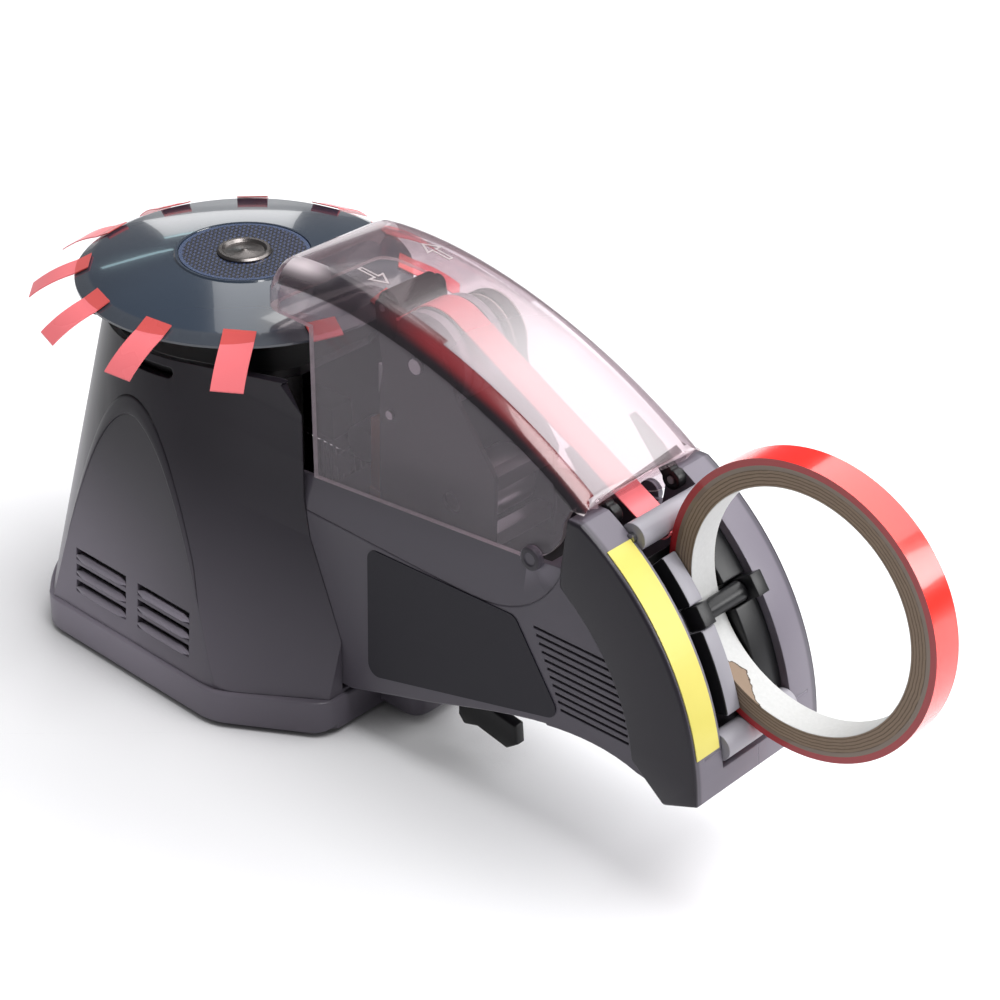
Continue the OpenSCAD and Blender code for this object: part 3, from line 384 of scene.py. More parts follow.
def disc_paint():
    paint = Paint("disc_slate", coat_weight=0.7, coat_roughness=0.03)
    radius = axis_distance(paint)
    broad = paint.noise(20.0, 2.0)
    hairs = paint.noise(1400.0, 2.0)
    top = paint.mix(broad.smooth(0.3, 0.7), (0.018, 0.028, 0.045), (0.024, 0.036, 0.056))
    skirt = radius.smooth(SKIRT_FROM, SKIRT_TO)
    paint.set(base_color=paint.mix(skirt, top, (0.040, 0.048, 0.062)),
              roughness=0.13 + hairs * 0.05 + skirt * 0.10)
    return paint.material


def print_paint():
    paint = Paint("disc_print", coat_weight=0.7, coat_roughness=0.06)
    x, y, z = paint.xyz()
    column = (x * math.cos(TURN) + y * math.sin(TURN)) * (1.0 / RIB)
    row = (y * math.cos(TURN) - x * math.sin(TURN)) * (0.5 / RIB)
    shift = column.math("FLOOR") * 0.5
    rib = ((row + shift).fract() - 0.5).abs().smooth(0.24, 0.40)
    gap = (column.fract() - 0.5).abs().smooth(0.14, 0.34)
    rim = axis_distance(paint).above(PRINT_R)
    weave = paint.mix(rib.most(gap), (0.026, 0.040, 0.105), (0.003, 0.004, 0.009))
    paint.set(base_color=paint.mix(rim, weave, (0.030, 0.050, 0.110)), roughness=0.26 - rib * 0.06)
    return paint.material


finish["disc_slate"] = disc_paint()
finish["disc_print"] = print_paint()
print("disc finishes ready")

# %% [markdown]
# ## Labels, board and coil
# The side labels and the strip on the tail are bare films: half gloss, with a faint print grain.
# They are thin solids already, so a finish is all they need. The board and the coil inside share its rule.

# %% Bare label films and the small inner finishes
def film(name, colour, roughness, spread=0.06):
    paint = Paint(name, specular_ior_level=0.18, coat_weight=0.04, coat_roughness=0.15)
    haze = paint.noise(60.0, 4.0)
    grain = paint.noise(3200.0, 2.0)
    paint.set(base_color=paint.mix(haze, shade(colour, 1 - spread), colour),
              roughness=roughness + (grain - 0.5) * 0.08, normal=paint.bump(grain, GRAIN, 0.3))
    return paint.material


finish["label_dark"] = film("label_dark", (0.013, 0.0115, 0.018), 0.42)
finish["label_yellow"] = film("label_yellow", (0.60, 0.53, 0.13), 0.34)
finish["board_green"] = film("board_green", (0.02, 0.15, 0.06), 0.3, 0.3)
finish["coil_brown"] = film("coil_brown", (0.22, 0.09, 0.04), 0.25, 0.4)
print("films ready")

# %% [markdown]
# ## Clear cover
# Thin clear plastic shows two things at once: what lies behind it, and the room mirrored in it.
# So a tinted transparent shader lies under a mirror-like one, and a weight sets how much mirror shows.
# About four parts in a hundred are mirrored straight on, and nearly all at a grazing angle.
# The roof and the outer sides are milkier than that: their grey and white are a painted reflection of the
# lamps and the pale floor, laid over the real gloss.

# %% Roof and sides of the cover
COVER_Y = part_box("clear_cover")[1].y
ROOF_Y = COVER_Y - 9.0 * MM
NOSE_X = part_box("clear_cover")[0].x


def grazing(paint):
    """0 where a face looks at the eye and 1 where it is seen edge on."""
    return paint.node("ShaderNodeLayerWeight", None, {"Blend": 0.5}, out="Facing")


def cover_paint():
    paint = Paint("smoky_clear", metallic=1.0)
    haze = paint.noise(30.0, 3.0)
    paint.set(base_color=paint.mix(haze, (0.86, 0.82, 0.84), (0.95, 0.92, 0.93)),
              roughness=0.03 + haze * 0.03)
    paint.over_clear(0.045 + grazing(paint) ** 5.0 * 0.85, (0.935, 0.885, 0.895))
    return paint.material


def roof_paint():
    paint = Paint("smoky_roof", specular_ior_level=0.5, coat_weight=0.35, coat_roughness=0.03)
    x, y, z = paint.xyz()
    haze = paint.noise(12.0, 2.0)
    along = x - AXIS_X + (haze - 0.5) * 0.03
    # Towards the nose the roof is darker and more opaque.
    dim = 1.0 - along.smooth(0.050, 0.085)
    # Towards the tail the roof is painted white, a painted reflection of the lamp above and behind, greyer
    # near its sides.
    pale = along.smooth(0.070, 0.130)
    rim = y.abs().smooth(0.009, 0.019)
    white = paint.mix(rim, (0.60, 0.565, 0.585), (0.52, 0.45, 0.48))
    # A paler band along the nose's front edge is a painted highlight.
    lip = 1.0 - (x - NOSE_X).smooth(0.003, 0.014)
    smoke = paint.mix(lip, (0.125, 0.100, 0.110), (0.46, 0.39, 0.42))
    paint.set(base_color=paint.mix(pale, smoke, white), roughness=0.10 + haze * 0.06)
    paint.over_clear(0.14 + dim * 0.46 + lip * 0.12 + pale * 0.38 + grazing(paint) ** 5.0 * 0.4,
                     (0.90, 0.83, 0.85))
    return paint.material


def panel_paint():
    paint = Paint("smoky_panel", coat_weight=1.0, coat_roughness=0.03)
    haze = paint.noise(14.0, 2.0)
    scuff = paint.noise(60.0, 4.0, vector=paint.stretch(3.0, 1.0, 0.4)).smooth(0.66, 0.72)
    # The grey of the sides is a painted reflection of the pale floor; the scuffs are real wear.
    paint.set(base_color=paint.mix(haze, (0.24, 0.215, 0.25), (0.34, 0.31, 0.35)),
              roughness=0.3 - scuff * 0.1)
    paint.over_clear(0.20 + haze * 0.10 + scuff * 0.06, (0.90, 0.85, 0.89))
    return paint.material


finish["smoky_clear"] = cover_paint()
finish["roof"] = roof_paint()
finish["panel"] = panel_paint()
print("roof and sides of the cover ready")

# %% [markdown]
# ## Shoulders, cut edges and red film
# Where the cover bends down, its near side is painted darker, a painted shade for plastic seen at a slant;
# near the roll it is painted red, a painted reflection of the tape, and along the top of the nose it is
# painted pale, a painted highlight.
# Cut edges of the cover pipe light, so they get a paler, frosted finish.
# The tape is a film that lets some light through, so the dark disc shows through it, and where it lies on the
# disc its red is also painted deeper, as painted shade.

# %% Shoulders, cut edges and tape film
DISC_R = (DISC_HIGH.x - DISC_LOW.x) / 2


def shoulder_paint():
    paint = Paint("smoky_shoulder", coat_weight=0.6, coat_roughness=0.04)
    x, y, z = paint.xyz()
    down = (y.abs() - ROOF_Y) * (1.0 / (COVER_Y - ROOF_Y))
    streak = paint.noise(40.0, 3.0, vector=paint.stretch(0.25, 1.0, 1.0))
    near = y.below(0.0)
    # Near the roll the near shoulder is painted red, a painted reflection of the tape below it.
    above_red_reflection = 1.0 - (down + (streak - 0.5) * 0.3).smooth(0.62, 0.90)
    glow = (x - AXIS_X).smooth(0.080, 0.110) * above_red_reflection * near
    # The near shoulder is painted dark and the far one grey, as painted shade.
    dark = paint.mix(streak, (0.008, 0.006, 0.009), (0.030, 0.024, 0.030))
    slant_shade = paint.mix(near, (0.11, 0.092, 0.10), dark)
    # Along the top of the nose the shoulder is painted pale, a painted highlight.
    nose_highlight_reach = 1.0 - (down + (streak - 0.5) * 0.2).smooth(0.42, 0.92)
    lip = (1.0 - (x - NOSE_X).smooth(0.012, 0.030)) * nose_highlight_reach * near
    edge = paint.mix(glow * 0.8, slant_shade, (0.24, 0.022, 0.028))
    paint.set(base_color=paint.mix(lip, edge, (0.62, 0.54, 0.57)), roughness=0.16 + streak * 0.1)
    far_rim = (1.0 - near) * (grazing(paint) ** 3.0 * 0.75 - 0.22)
    # The near shoulder is also more opaque towards its foot, which deepens the painted shade.
    body = down.smooth(0.0, 0.5) * (0.15 + near * 0.28)
    paint.over_clear(0.28 + body + streak * 0.12 + lip * 0.28 + far_rim, (0.66, 0.56, 0.59))
    return paint.material


def cut_edge_paint():
    paint = Paint("cover_cut_edge")
    haze = paint.noise(400.0, 3.0)
    paint.set(base_color=paint.mix(haze, (0.42, 0.36, 0.37), (0.66, 0.60, 0.61)),
              roughness=0.25 + haze * 0.1)
    paint.over_clear(0.55 + haze * 0.1, (0.86, 0.80, 0.81))
    return paint.material


def tape_film_paint():
    paint = Paint("tape_film", specular_ior_level=0.3, coat_weight=0.08, coat_roughness=0.12)
    haze = paint.noise(35.0, 3.0)
    # On the disc the red is painted deeper, painted shade of the dark disc seen through the film.
    on_disc = axis_distance(paint).below(DISC_R - 0.2 * MM)
    loose = paint.mix(haze, (0.88, 0.205, 0.225), (0.94, 0.235, 0.260))
    paint.set(base_color=paint.mix(on_disc, loose, (0.68, 0.110, 0.105)), roughness=0.24 + haze * 0.08)
    paint.over_clear(0.72 + grazing(paint) * 0.25, (1.0, 0.42, 0.40))
    return paint.material


finish["shoulder"] = shoulder_paint()
finish["cut_edge"] = cut_edge_paint()
finish["tape_film"] = tape_film_paint()
print("see-through finishes ready")

# %% [markdown]
# ## The roll
# The tape is a glossy red film wound on a brown paper core, and the core has a white lining.
# The edge of the core shows its wound layers as ragged rings, drawn from the distance to the roll's axis.
# Near the bottom the lining is torn, and bare brown paper shows.

# %% Tape and paper
ROLL_LOW, ROLL_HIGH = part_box("tape_roll")
ROLL = (ROLL_LOW + ROLL_HIGH) / 2
CORE_LOW, CORE_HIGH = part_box("roll_core")
CORE_OUT = (CORE_HIGH.z - CORE_LOW.z) / 2
CORE_IN = CORE_OUT - 5.0 * MM
SIDE_Y = 5.2 * MM
TAPE_PLY, PAPER_PLY = 0.22 * MM, 1.05 * MM
FIRST_TURNS = 1.3 * MM  # the first turns of the roll look as brown as the core
TEAR_AT = math.radians(-122)


def roll_place(paint):
    """Distance from the roll's axis, the angle round it and the place along it."""
    x, y, z = paint.xyz()
    along, high = x - ROLL.x, z - ROLL.z
    return (along * along + high * high) ** 0.5, high.angle_to(along), y


def tape_paint():
    paint = Paint("tape_red", coat_weight=0.45, coat_roughness=0.05)
    radius, _, y = roll_place(paint)
    layer = (radius * (1.0 / TAPE_PLY)).fract()
    haze = paint.noise(30.0, 3.0)
    side = y.abs().above(SIDE_Y)
    paper = side * radius.below(CORE_OUT + FIRST_TURNS)
    face = paint.mix(haze.smooth(0.3, 0.7), (0.84, 0.012, 0.006), (0.92, 0.020, 0.010))
    edge = paint.mix(paper, (0.30, 0.006, 0.010), (0.155, 0.110, 0.078))
    paint.set(base_color=paint.mix(side, face, edge), roughness=0.16 + haze * 0.08 + side * 0.3,
              normal=paint.bump(layer, 0.00002, 0.3))
    return paint.material


def paper_paint():
    paint = Paint("kraft", specular_ior_level=0.25)
    radius, angle, y = roll_place(paint)
    fibre = paint.noise(900.0, 4.0)
    ragged = paint.noise(240.0, 3.0)
    layer = ((radius + (ragged - 0.5) * 0.0007) * (1.0 / PAPER_PLY)).fract()
    seam = layer.smooth(0.60, 0.92) * 0.8 + fibre * 0.2
    brown = paint.mix(seam, (0.250, 0.185, 0.135), (0.085, 0.062, 0.045))
    white = paint.mix(fibre, (0.46, 0.46, 0.455), (0.56, 0.56, 0.555))
    lining = radius.below(CORE_IN + 0.2 * MM)
    reach = (angle - TEAR_AT).abs() + (ragged - 0.5) * 0.16 + y * 40.0
    bare = 1.0 - reach.smooth(0.060, 0.072)
    torn = reach.smooth(0.045, 0.060) * bare
    inside = paint.mix(torn, paint.mix(bare, white, (0.24, 0.17, 0.12)), (0.04, 0.028, 0.02))
    paint.set(base_color=paint.mix(lining, brown, inside), roughness=0.80 - lining * 0.22,
              normal=paint.bump(layer * 0.7 + fibre * 0.3, 0.00012, 0.6))
    return paint.material


finish["tape_red"] = tape_paint()
finish["kraft"] = paper_paint()
print("roll centre", [round(c, 4) for c in ROLL])

# %% [markdown]
# ## Soft forms
# Real mouldings have no knife edges: a radius catches the light along every rim.
# A dressed copy of a solid is welded, its flat faces are joined up again, and then chosen edges are rounded.
# Each choice is a small test on the edge: where it lies, how sharp it is and which way its two faces look.

# %% Copy and round a solid
def from_axis(point):
    """A point in millimetres from the carousel axis, as the drawing has it."""
    return Vector(((point.x - AXIS_X) / MM, point.y / MM, point.z / MM))


class Rim:
    """What a test needs to know of an edge."""

    def __init__(self, edge):
        self.mid = from_axis((edge.verts[0].co + edge.verts[1].co) / 2)
        self.turn = math.degrees(edge.calc_face_angle(0.0))
        self.convex = edge.is_convex
        self.normals = [face.normal for face in edge.link_faces]

    def faces(self, first, second):
        a, b = self.normals
        return (first(a) and second(b)) or (first(b) and second(a))


def welded(name):
    work = bmesh.new()
    work.from_mesh(nodes[name].data)
    bmesh.ops.remove_doubles(work, verts=work.verts, dist=2e-6)
    bmesh.ops.dissolve_limit(work, angle_limit=math.radians(0.4), verts=work.verts, edges=work.edges)
    return work


def round_off(work, test, offset, segments=3):
    work.normal_update()
    chosen = [e for e in work.edges if len(e.link_faces) == 2 and test(Rim(e))]
    bmesh.ops.bevel(work, geom=chosen, offset=offset * MM, offset_type="OFFSET", segments=segments,
                    profile=0.5, affect="EDGES", clamp_overlap=False)


def split_large(work):
    """Cut faces with many corners into triangles, after their points were moved off one plane."""
    large = [face for face in work.faces if len(face.verts) > 4]
    bmesh.ops.triangulate(work, faces=large, ngon_method="BEAUTY")


print("rounding tools ready")

# %% [markdown]
# ## Standing in for a solid
# A dressed copy takes the place of its solid: it rides on the same body and keeps the solid's slot.
# A moulding looks smooth wherever it has no real edge, so each edge is marked by the angle of its two faces.
# One setting for a whole object would do too, but marks leave room for a crease where it is wanted.

# %% Shade the copy and stand it in
def no_crease(edge):
    return False


def shade_smooth(work, smooth_below, crease=no_crease):
    """Smooth shading across all edges but the sharp ones, in degrees, and the creases."""
    for face in work.faces:
        face.smooth = True
    for edge in work.edges:
        soft = len(edge.link_faces) == 2 and edge.calc_face_angle(0.0) < math.radians(smooth_below)
        edge.smooth = soft and not crease(edge)


def to_piece(name, work, material, body):
    """Turn the worked mesh into an object of the scene that rides on a body."""
    mesh = bpy.data.meshes.new(name)
    work.to_mesh(mesh)
    work.free()
    mesh.materials.append(material)
    piece = put(name, mesh)
    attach(piece, body)
    return piece


def stand_in(name, work, smooth_below=30.0, crease=no_crease):
    work.normal_update()
    shade_smooth(work, smooth_below, crease)
    material = greys.get(name) or finish[slot_of[name]]
    piece = to_piece(name + "_dressed", work, material, body_of[name])
    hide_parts(name)
    return piece


dressed = {}
print("dressing tools ready")

# %% [markdown]
# ## The tower
# The flat sides cut the cone in a tall arch, and its rear corners are rounded wide.
# The tray below has round corners too, and a soft upper rim.
# A modifier would round every edge alike, so each rounding names its own edges instead.

# %% Round the tower and the tray
def is_flat_side(normal):
    return abs(normal.y) > 0.9968 and normal.z > 0.05


def is_upright(normal):
    return abs(normal.z) < 0.03


def is_arch_line(edge):
    first, second = (is_flat_side(face.normal) for face in edge.link_faces)
    return first != second


def dress_tower():
    work = welded("tower_shell")
    round_off(work, lambda r: r.convex and r.faces(is_flat_side, is_upright) and 20 < r.turn < 50
              and abs(r.mid.y) > 45, 6.0, 5)
    return stand_in("tower_shell", work, crease=is_arch_line)


def dress_tray():
    work = welded("base_tray")
    round_off(work, lambda r: r.convex and is_upright(r.normals[0]) and is_upright(r.normals[1])
              and r.turn > 20 and r.mid.length > 55, 5.0, 4)
    round_off(work, lambda r: r.convex and r.turn > 60 and r.mid.z > 13 and r.mid.xy.length > 54, 0.9, 3)
    return stand_in("base_tray", work)


dressed["tower_shell"] = dress_tower()
dressed["base_tray"] = dress_tray()
print("tower and tray", [len(dressed[n].data.polygons) for n in ("tower_shell", "base_tray")])

# %% [markdown]
# ## The arm
# Each half has a long band under the cover that leans inwards up to a thin lip.
# The outer outline is rounded by about a millimetre, but not the narrow grooves beside the label.

# %% Lean the bands and round the outline
BAND_Y, LIP_Y, RIDGE_Y = 27.0, 25.7, 27.9
COVER_LINE = (59.0, 90.15, 9.5 / 89)  # start, height there and slope of the lip under the cover


def lean_band(work):
    for vert in work.verts:
        at = from_axis(vert.co)
        if abs(abs(at.y) - BAND_Y) < 0.05 and at.x < 160 and at.z > 76:
            lip = at.z > COVER_LINE[1] + (at.x - COVER_LINE[0]) * COVER_LINE[2] - 0.4
            vert.co.y = math.copysign((LIP_Y if lip else RIDGE_Y) * MM, vert.co.y)
    split_large(work)


def is_outer_edge(rim):
    grooves = 150 < rim.mid.x < 199 and 46 < rim.mid.z < 83 and abs(rim.mid.y) < 28.4
    return rim.convex and rim.turn > 50 and abs(rim.mid.y) > 27.85 and not grooves


for name in ("arm_shell_near", "arm_shell_far"):
    work = welded(name)
    round_off(work, is_outer_edge, 1.0, 3)
    lean_band(work)
    dressed[name] = stand_in(name, work)
print("arm halves dressed")

# %% [markdown]
# ## The cover
# The cover's shoulders are rounded, and its roof, sides, shoulders and cut edges get a finish each.
# One mesh can hold several finishes, so it stays in one piece, and a test on each face names its zone.

# %% Round the cover and sort its faces
CLEAR, CUT, PANEL, SHOULDER, ROOF = range(5)
RIM_Y, NOSE_Z = 24.9, 143.5
PANEL_X, SHOULDER_X, ROOF_Z = 57, 46, 96  # where these zones begin


def cover_zone(face):
    at = from_axis(face.calc_center_median())
    lean = abs(face.normal.y)
    along_rim = lean < 0.2 and (abs(at.y) > RIM_Y or abs(at.z - NOSE_Z) < 0.3)
    if along_rim and (face.normal.z < -0.5 or abs(face.normal.x) > 0.7):
        return CUT
    outside = face.normal.y * at.y > 0
    if outside and lean > 0.97 and at.x > PANEL_X:
        return PANEL
    if outside and abs(at.y) * MM > ROOF_Y + 0.2 * MM and 0.1 < lean <= 0.97 and at.x > SHOULDER_X:
        return SHOULDER
    if lean <= 0.4 and face.normal.z > 0.2 and at.z > ROOF_Z:
        return ROOF
    return CLEAR


def is_shoulder(rim):
    outer = abs(rim.mid.y) * MM > ROOF_Y - 0.5 * MM and rim.mid.x > 50
    return rim.convex and 30 < rim.turn < 60 and outer


def dress_cover():
    work = welded("clear_cover")
    round_off(work, is_shoulder, 3.0, 4)
    for vert in work.verts:
        vert.co.y = max(-COVER_Y, min(COVER_Y, vert.co.y))
    work.normal_update()
    for face in work.faces:
        face.material_index = cover_zone(face)
    piece = stand_in("clear_cover", work, 40.0)
    for zone in ("cut_edge", "panel", "shoulder", "roof"):  # in the order of their numbers
        piece.data.materials.append(finish[zone])
    return piece


dressed["clear_cover"] = dress_cover()
print("cover faces", len(dressed["clear_cover"].data.polygons))

# %% [markdown]
# ## Strips, lever and the smaller pieces
# No two strips are laid alike, so each one is turned a little where it leaves the rim, and the one under
# the cover is only just laid down. The lever under the belly ends in a thin tongue.
# Both changes move points of the dressed copies, which is quicker than drawing the pieces anew.

# %% Dress the smaller pieces that are seen
STRIP_PITCH = 30  # degrees
STRIP_LEAN = {8: -3.0, 9: -8.0, 10: -10.0}  # degrees, by the strip's place round the rim
SHORT_STRIP, SHORT_REACH, SHORT_Z = 11, DISC_R + 1.5 * MM, 133.6 * MM


def lean_strips(work):
    """Turn each strip a little about the place where it leaves the rim."""
    for vert in work.verts:
        turn = math.degrees(math.atan2(vert.co.y, vert.co.x - AXIS_X)) % 360
        number = int(turn // STRIP_PITCH)
        lean = math.radians(STRIP_LEAN.get(number, 2.5 * math.sin(5.0 * number)))
        out = math.radians((number + 0.5) * STRIP_PITCH)
        hinge = Vector((AXIS_X + DISC_R * math.cos(out), DISC_R * math.sin(out), 0))
        reach = math.hypot(vert.co.x - AXIS_X, vert.co.y)
        if number == SHORT_STRIP and reach > SHORT_REACH:
            vert.co.x = AXIS_X + (vert.co.x - AXIS_X) * SHORT_REACH / reach
            vert.co.y *= SHORT_REACH / reach
            vert.co.z = max(vert.co.z, SHORT_Z)
        vert.co = Matrix.Rotation(lean, 3, "Z") @ (vert.co - hinge) + hinge


LEVER_TONGUE_X, LEVER_NEAR_Y, LEVER_THIN = 111.0, -6.0, 0.35
ROUNDED = {"near_guide": 0.5, "far_guide": 0.5, "retainer_rod": 0.25, "belly_lever": 0.8, "strip_sensor": 0.6,
           "hinge_eyes": 0.4, "disc_cap": 0.0, "carousel_disc": 0.0, "tape_strips": 0.0, "tape_web": 0.0,
           "tape_roll": 0.0, "roll_core": 0.0, "guide_rail": 0.4, "feed_wheel": 0.0, "upper_roller": 0.0,
           "lower_roller": 0.0, "disc_label": 0.0}


def thin_lever(work):
    """The free end of the lever is a thin tongue on its near side."""
    for vert in work.verts:
        at = from_axis(vert.co)
        if at.x > LEVER_TONGUE_X:
            vert.co.y = (LEVER_NEAR_Y + (at.y - LEVER_NEAR_Y) * LEVER_THIN) * MM
    split_large(work)


for name, radius in ROUNDED.items():
    work = welded(name)
    if name == "belly_lever":
        thin_lever(work)
    if radius:
        round_off(work, lambda r: r.convex and r.turn > 60, radius, 3)
    if name == "tape_strips":
        lean_strips(work)
    dressed[name] = stand_in(name, work)
for name in ("tape_strips", "tape_web"):
    dressed[name].data.materials[0] = finish["tape_film"]
guide = dressed["near_guide"].data
guide.materials.append(finish["black_plastic"])
for face in guide.polygons:
    face.material_index = 1 if face.normal.y < -0.7 else 0
for name, solid in nodes.items():
    if name not in dressed:
        solid.data.materials.clear()
        solid.data.materials.append(finish[slot_of[name]])
print(len(dressed), "solids dressed")

# %% [markdown]
# ## Bands along the arches
# A raised band runs along the arch of each tower side: it follows the cone and drops to the flat
# in a crisp line.
# A curve with a bevel would keep one section, but this band widens towards the top.
# So it is swept as a row of small sections, each one from the edge inwards.

# %% Arch bands
def add_piece(name, verts, faces, material, rides, smooth_below=35.0):
    """A closed piece from points in millimetres from the carousel axis, riding where a solid rides."""
    work = bmesh.new()
    points = [work.verts.new((x * MM + AXIS_X, y * MM, z * MM)) for x, y, z in verts]
    for face in faces:
        work.faces.new([points[k] for k in face])
    work.normal_update()
    bmesh.ops.recalc_face_normals(work, faces=work.faces)
    shade_smooth(work, smooth_below)
    return to_piece(name, work, material, body_of[rides])


def between(first, second, count):
    """The four-sided faces between two rings of points."""
    first, second = first * count, second * count
    return [(first + k, first + (k + 1) % count, second + (k + 1) % count, second + k) for k in range(count)]


def sweep(rings):
    """Join rings of points into one closed skin, with a cap at each end."""
    count, last = len(rings[0]), len(rings) - 1
    verts = [p for ring in rings for p in ring]
    faces = [face for i in range(last) for face in between(i, i + 1, count)]
    return verts, faces + [tuple(range(count)), tuple(last * count + k for k in range(count))]


SIDE_LEAN = math.radians(4.2)
CONE_SLOPE = 24.0 / 108
PLINTH, CONE_FOOT, SIDE_FOOT = 14.0, 70.5, 57.0  # the cone's radius and the side's distance on the plinth


def cone_r(z):
    return CONE_FOOT - CONE_SLOPE * (z - PLINTH)


def side_y(z):
    return SIDE_FOOT - math.tan(SIDE_LEAN) * (z - PLINTH)


ARCH_TOP = PLINTH + (CONE_FOOT - SIDE_FOOT) / (CONE_SLOPE - math.tan(SIDE_LEAN))
ARCH_FOOT = 42.0
ARCH_STEPS = 48
# each point of a section: its step from the arch line inwards, and its lift
ARCH_SECTION = ((-1.2, 0.02), (0.0, 0.04), (0.35, 0.6), (0.7, 1.0), (0.88, 0.85), (1.0, -0.2), (0.4, -0.6))


def arch_point(s):
    """A point of the arch: s runs from -1 at the front foot to 1 at the rear foot."""
    z = ARCH_TOP - (ARCH_TOP - ARCH_FOOT) * s * s
    return Vector((math.copysign(math.sqrt(max(cone_r(z) ** 2 - side_y(z) ** 2, 0.0)), s), z))


def arch_ring(s, side):
    at = arch_point(s)
    along = (arch_point(s + 0.005) - arch_point(s - 0.005)).normalized()
    inward = Vector((along.y, -along.x))
    high = (at.y - ARCH_FOOT) / (ARCH_TOP - ARCH_FOOT)
    wide = 0.1 + 1.5 * high + 4.5 * high ** 5
    flat = Vector((0, math.cos(SIDE_LEAN), math.sin(SIDE_LEAN)))
    cone = Vector((at.x / cone_r(at.y), side_y(at.y) / cone_r(at.y), CONE_SLOPE)).normalized()
    crest = 0.62 * wide * flat.cross(cone).length
    skirt = min(1.0, 0.05 + 4.0 * high)
    ring = []
    for step, lift in ARCH_SECTION:
        spot = at + inward * (step * wide if step > 0 else step * skirt)
        wall = side_y(spot.y) if step >= 0 else math.sqrt(cone_r(spot.y) ** 2 - spot.x ** 2)
        ring.append((spot.x, side * (wall + (lift * crest if step > 0 else lift)), spot.y))
    return ring


def arch_band(name, side):
    rings = [arch_ring(2.0 * i / ARCH_STEPS - 1.0 + 0.0005, side) for i in range(ARCH_STEPS + 1)]
    return add_piece(name, *sweep(rings), greys["tower_shell"], "tower_shell", 24.0)


SIDES = ((-1, "near"), (1, "far"))
for side, end in SIDES:
    arch_band("arch_band_" + end, side)
print("arch bands on both sides")

# %% [markdown]
# ## Louvres
# The louvres get round lips, painted paler than the wall as painted light on their tops, and a dark pleated
# sheet behind them stands in for the shade inside the tower and keeps the light out.
# Both are swept like the bands: a lip is a bar with round ends, and the sheet is a zigzag strip.

# %% Louvre lips and the dark sheet behind them
VENT_LOW, VENT_PITCH, VENT_LENGTH, VENT_MIDDLE = 21.0, 6.2, 26.0, 16.0
LIP_DEEP, LIP_HIGH, LIP_SUNK, LIP_RISE = 1.30, 1.60, 0.40, 1.35
LIP_RING = [math.tau * k / 14 for k in range(14)]


def louvre_lip(middle, z, side):
    """A bar with round ends along one louvre, as rings of points."""
    rings = []
    for i in range(9):
        along = i / 4.0 - 1.0
        x = middle + along * VENT_LENGTH / 2 * 0.998
        end = max(0.35, math.sqrt(max(0.0, 1.0 - along ** 12)))
        rings.append([(x, side * (side_y(z) - LIP_SUNK + LIP_DEEP * end * math.cos(a)),
                       z + LIP_HIGH * end * math.sin(a)) for a in LIP_RING])
    return rings


def louvre_lips(name, side):
    verts, faces = [], []
    for row in range(3):
        for middle in (-VENT_MIDDLE, VENT_MIDDLE):
            lip_verts, lip_faces = sweep(louvre_lip(middle, VENT_LOW + row * VENT_PITCH + LIP_RISE, side))
            faces += [tuple(k + len(verts) for k in face) for face in lip_faces]
            verts += lip_verts
    # The lips take the paler grey, painted light on their tops.
    return add_piece(name, verts, faces, finish["louvre_grey"], "tower_shell")


PLEATS, PLEAT_DEEP = 40, 0.8
SHADE_SHEET_LOW, SHADE_SHEET_HIGH, SHADE_SHEET_HALF, SHADE_SHEET_IN, SHADE_SHEET_THICK = 18.0, 46.0, 32.0, 9.0, 0.3


# A dark sheet behind each vent stands in for the shade inside the tower and keeps the light out.
def vent_shade_sheet(name, side):
    section = ((SHADE_SHEET_LOW, 0), (SHADE_SHEET_HIGH, 0), (SHADE_SHEET_HIGH, SHADE_SHEET_THICK), (SHADE_SHEET_LOW, SHADE_SHEET_THICK))
    rows = []
    for i in range(PLEATS + 1):
        x = -SHADE_SHEET_HALF + 2 * SHADE_SHEET_HALF * i / PLEATS
        deep = SHADE_SHEET_IN + PLEAT_DEEP * (i % 2)
        rows.append([(x, side * (side_y(z) - deep - t), z) for z, t in section])
    return add_piece(name, *sweep(rows), finish["black_plastic"], "tower_shell")


for side, end in SIDES:
    louvre_lips("louvre_lips_" + end, side)
    vent_shade_sheet("vent_shade_sheet_" + end, side)
print("lips and gauze on both sides")

# %% [markdown]
# ## Details of the tail and the cover
# A round boss sits beside each hinge, and the retainer rod is thicker between its two ends.
# The cover carries two raised arrows, for closing and for opening; they are drawn on its roof by dropping
# each point from above until it meets the plastic.

# %% Bosses, rod sleeve and arrows
HINGE_AT, ROD_AT = (153.0, 101.5), (201.19, 94.52)
BOSS = ((26.2, 3.8), (28.2, 3.8), (28.45, 3.7), (28.6, 3.4), (28.6, 2.2), (28.2, 1.9), (28.2, 0.3))


def lathe(name, centre, stations, material, rides, count=40):
    """Turn a row of (y, radius) stations about an axis along Y."""
    turns = [math.tau * k / count for k in range(count)]
    x, z = centre
    rings = [[(x + r * math.cos(a), y, z + r * math.sin(a)) for a in turns] for y, r in stations]
    return add_piece(name, *sweep(rings), material, rides)


for side, end in SIDES:
    stations = [(side * y, r) for y, r in BOSS]
    lathe("hinge_boss_" + end, HINGE_AT, stations, finish["body_grey"], "arm_shell_" + end)

rod_low, rod_high = (from_axis(corner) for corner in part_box("retainer_rod"))
rod_from, rod_to = rod_low.y + 4.0, rod_high.y - 5.0
stations = [(rod_from, 2.2), (rod_from + 0.3, 2.7), (rod_from + 1.0, 2.9),
            (rod_to - 1.5, 3.3), (rod_to - 0.4, 3.3), (rod_to, 2.6)]
lathe("rod_sleeve", ROD_AT, stations, finish["black_plastic"], "retainer_rod")

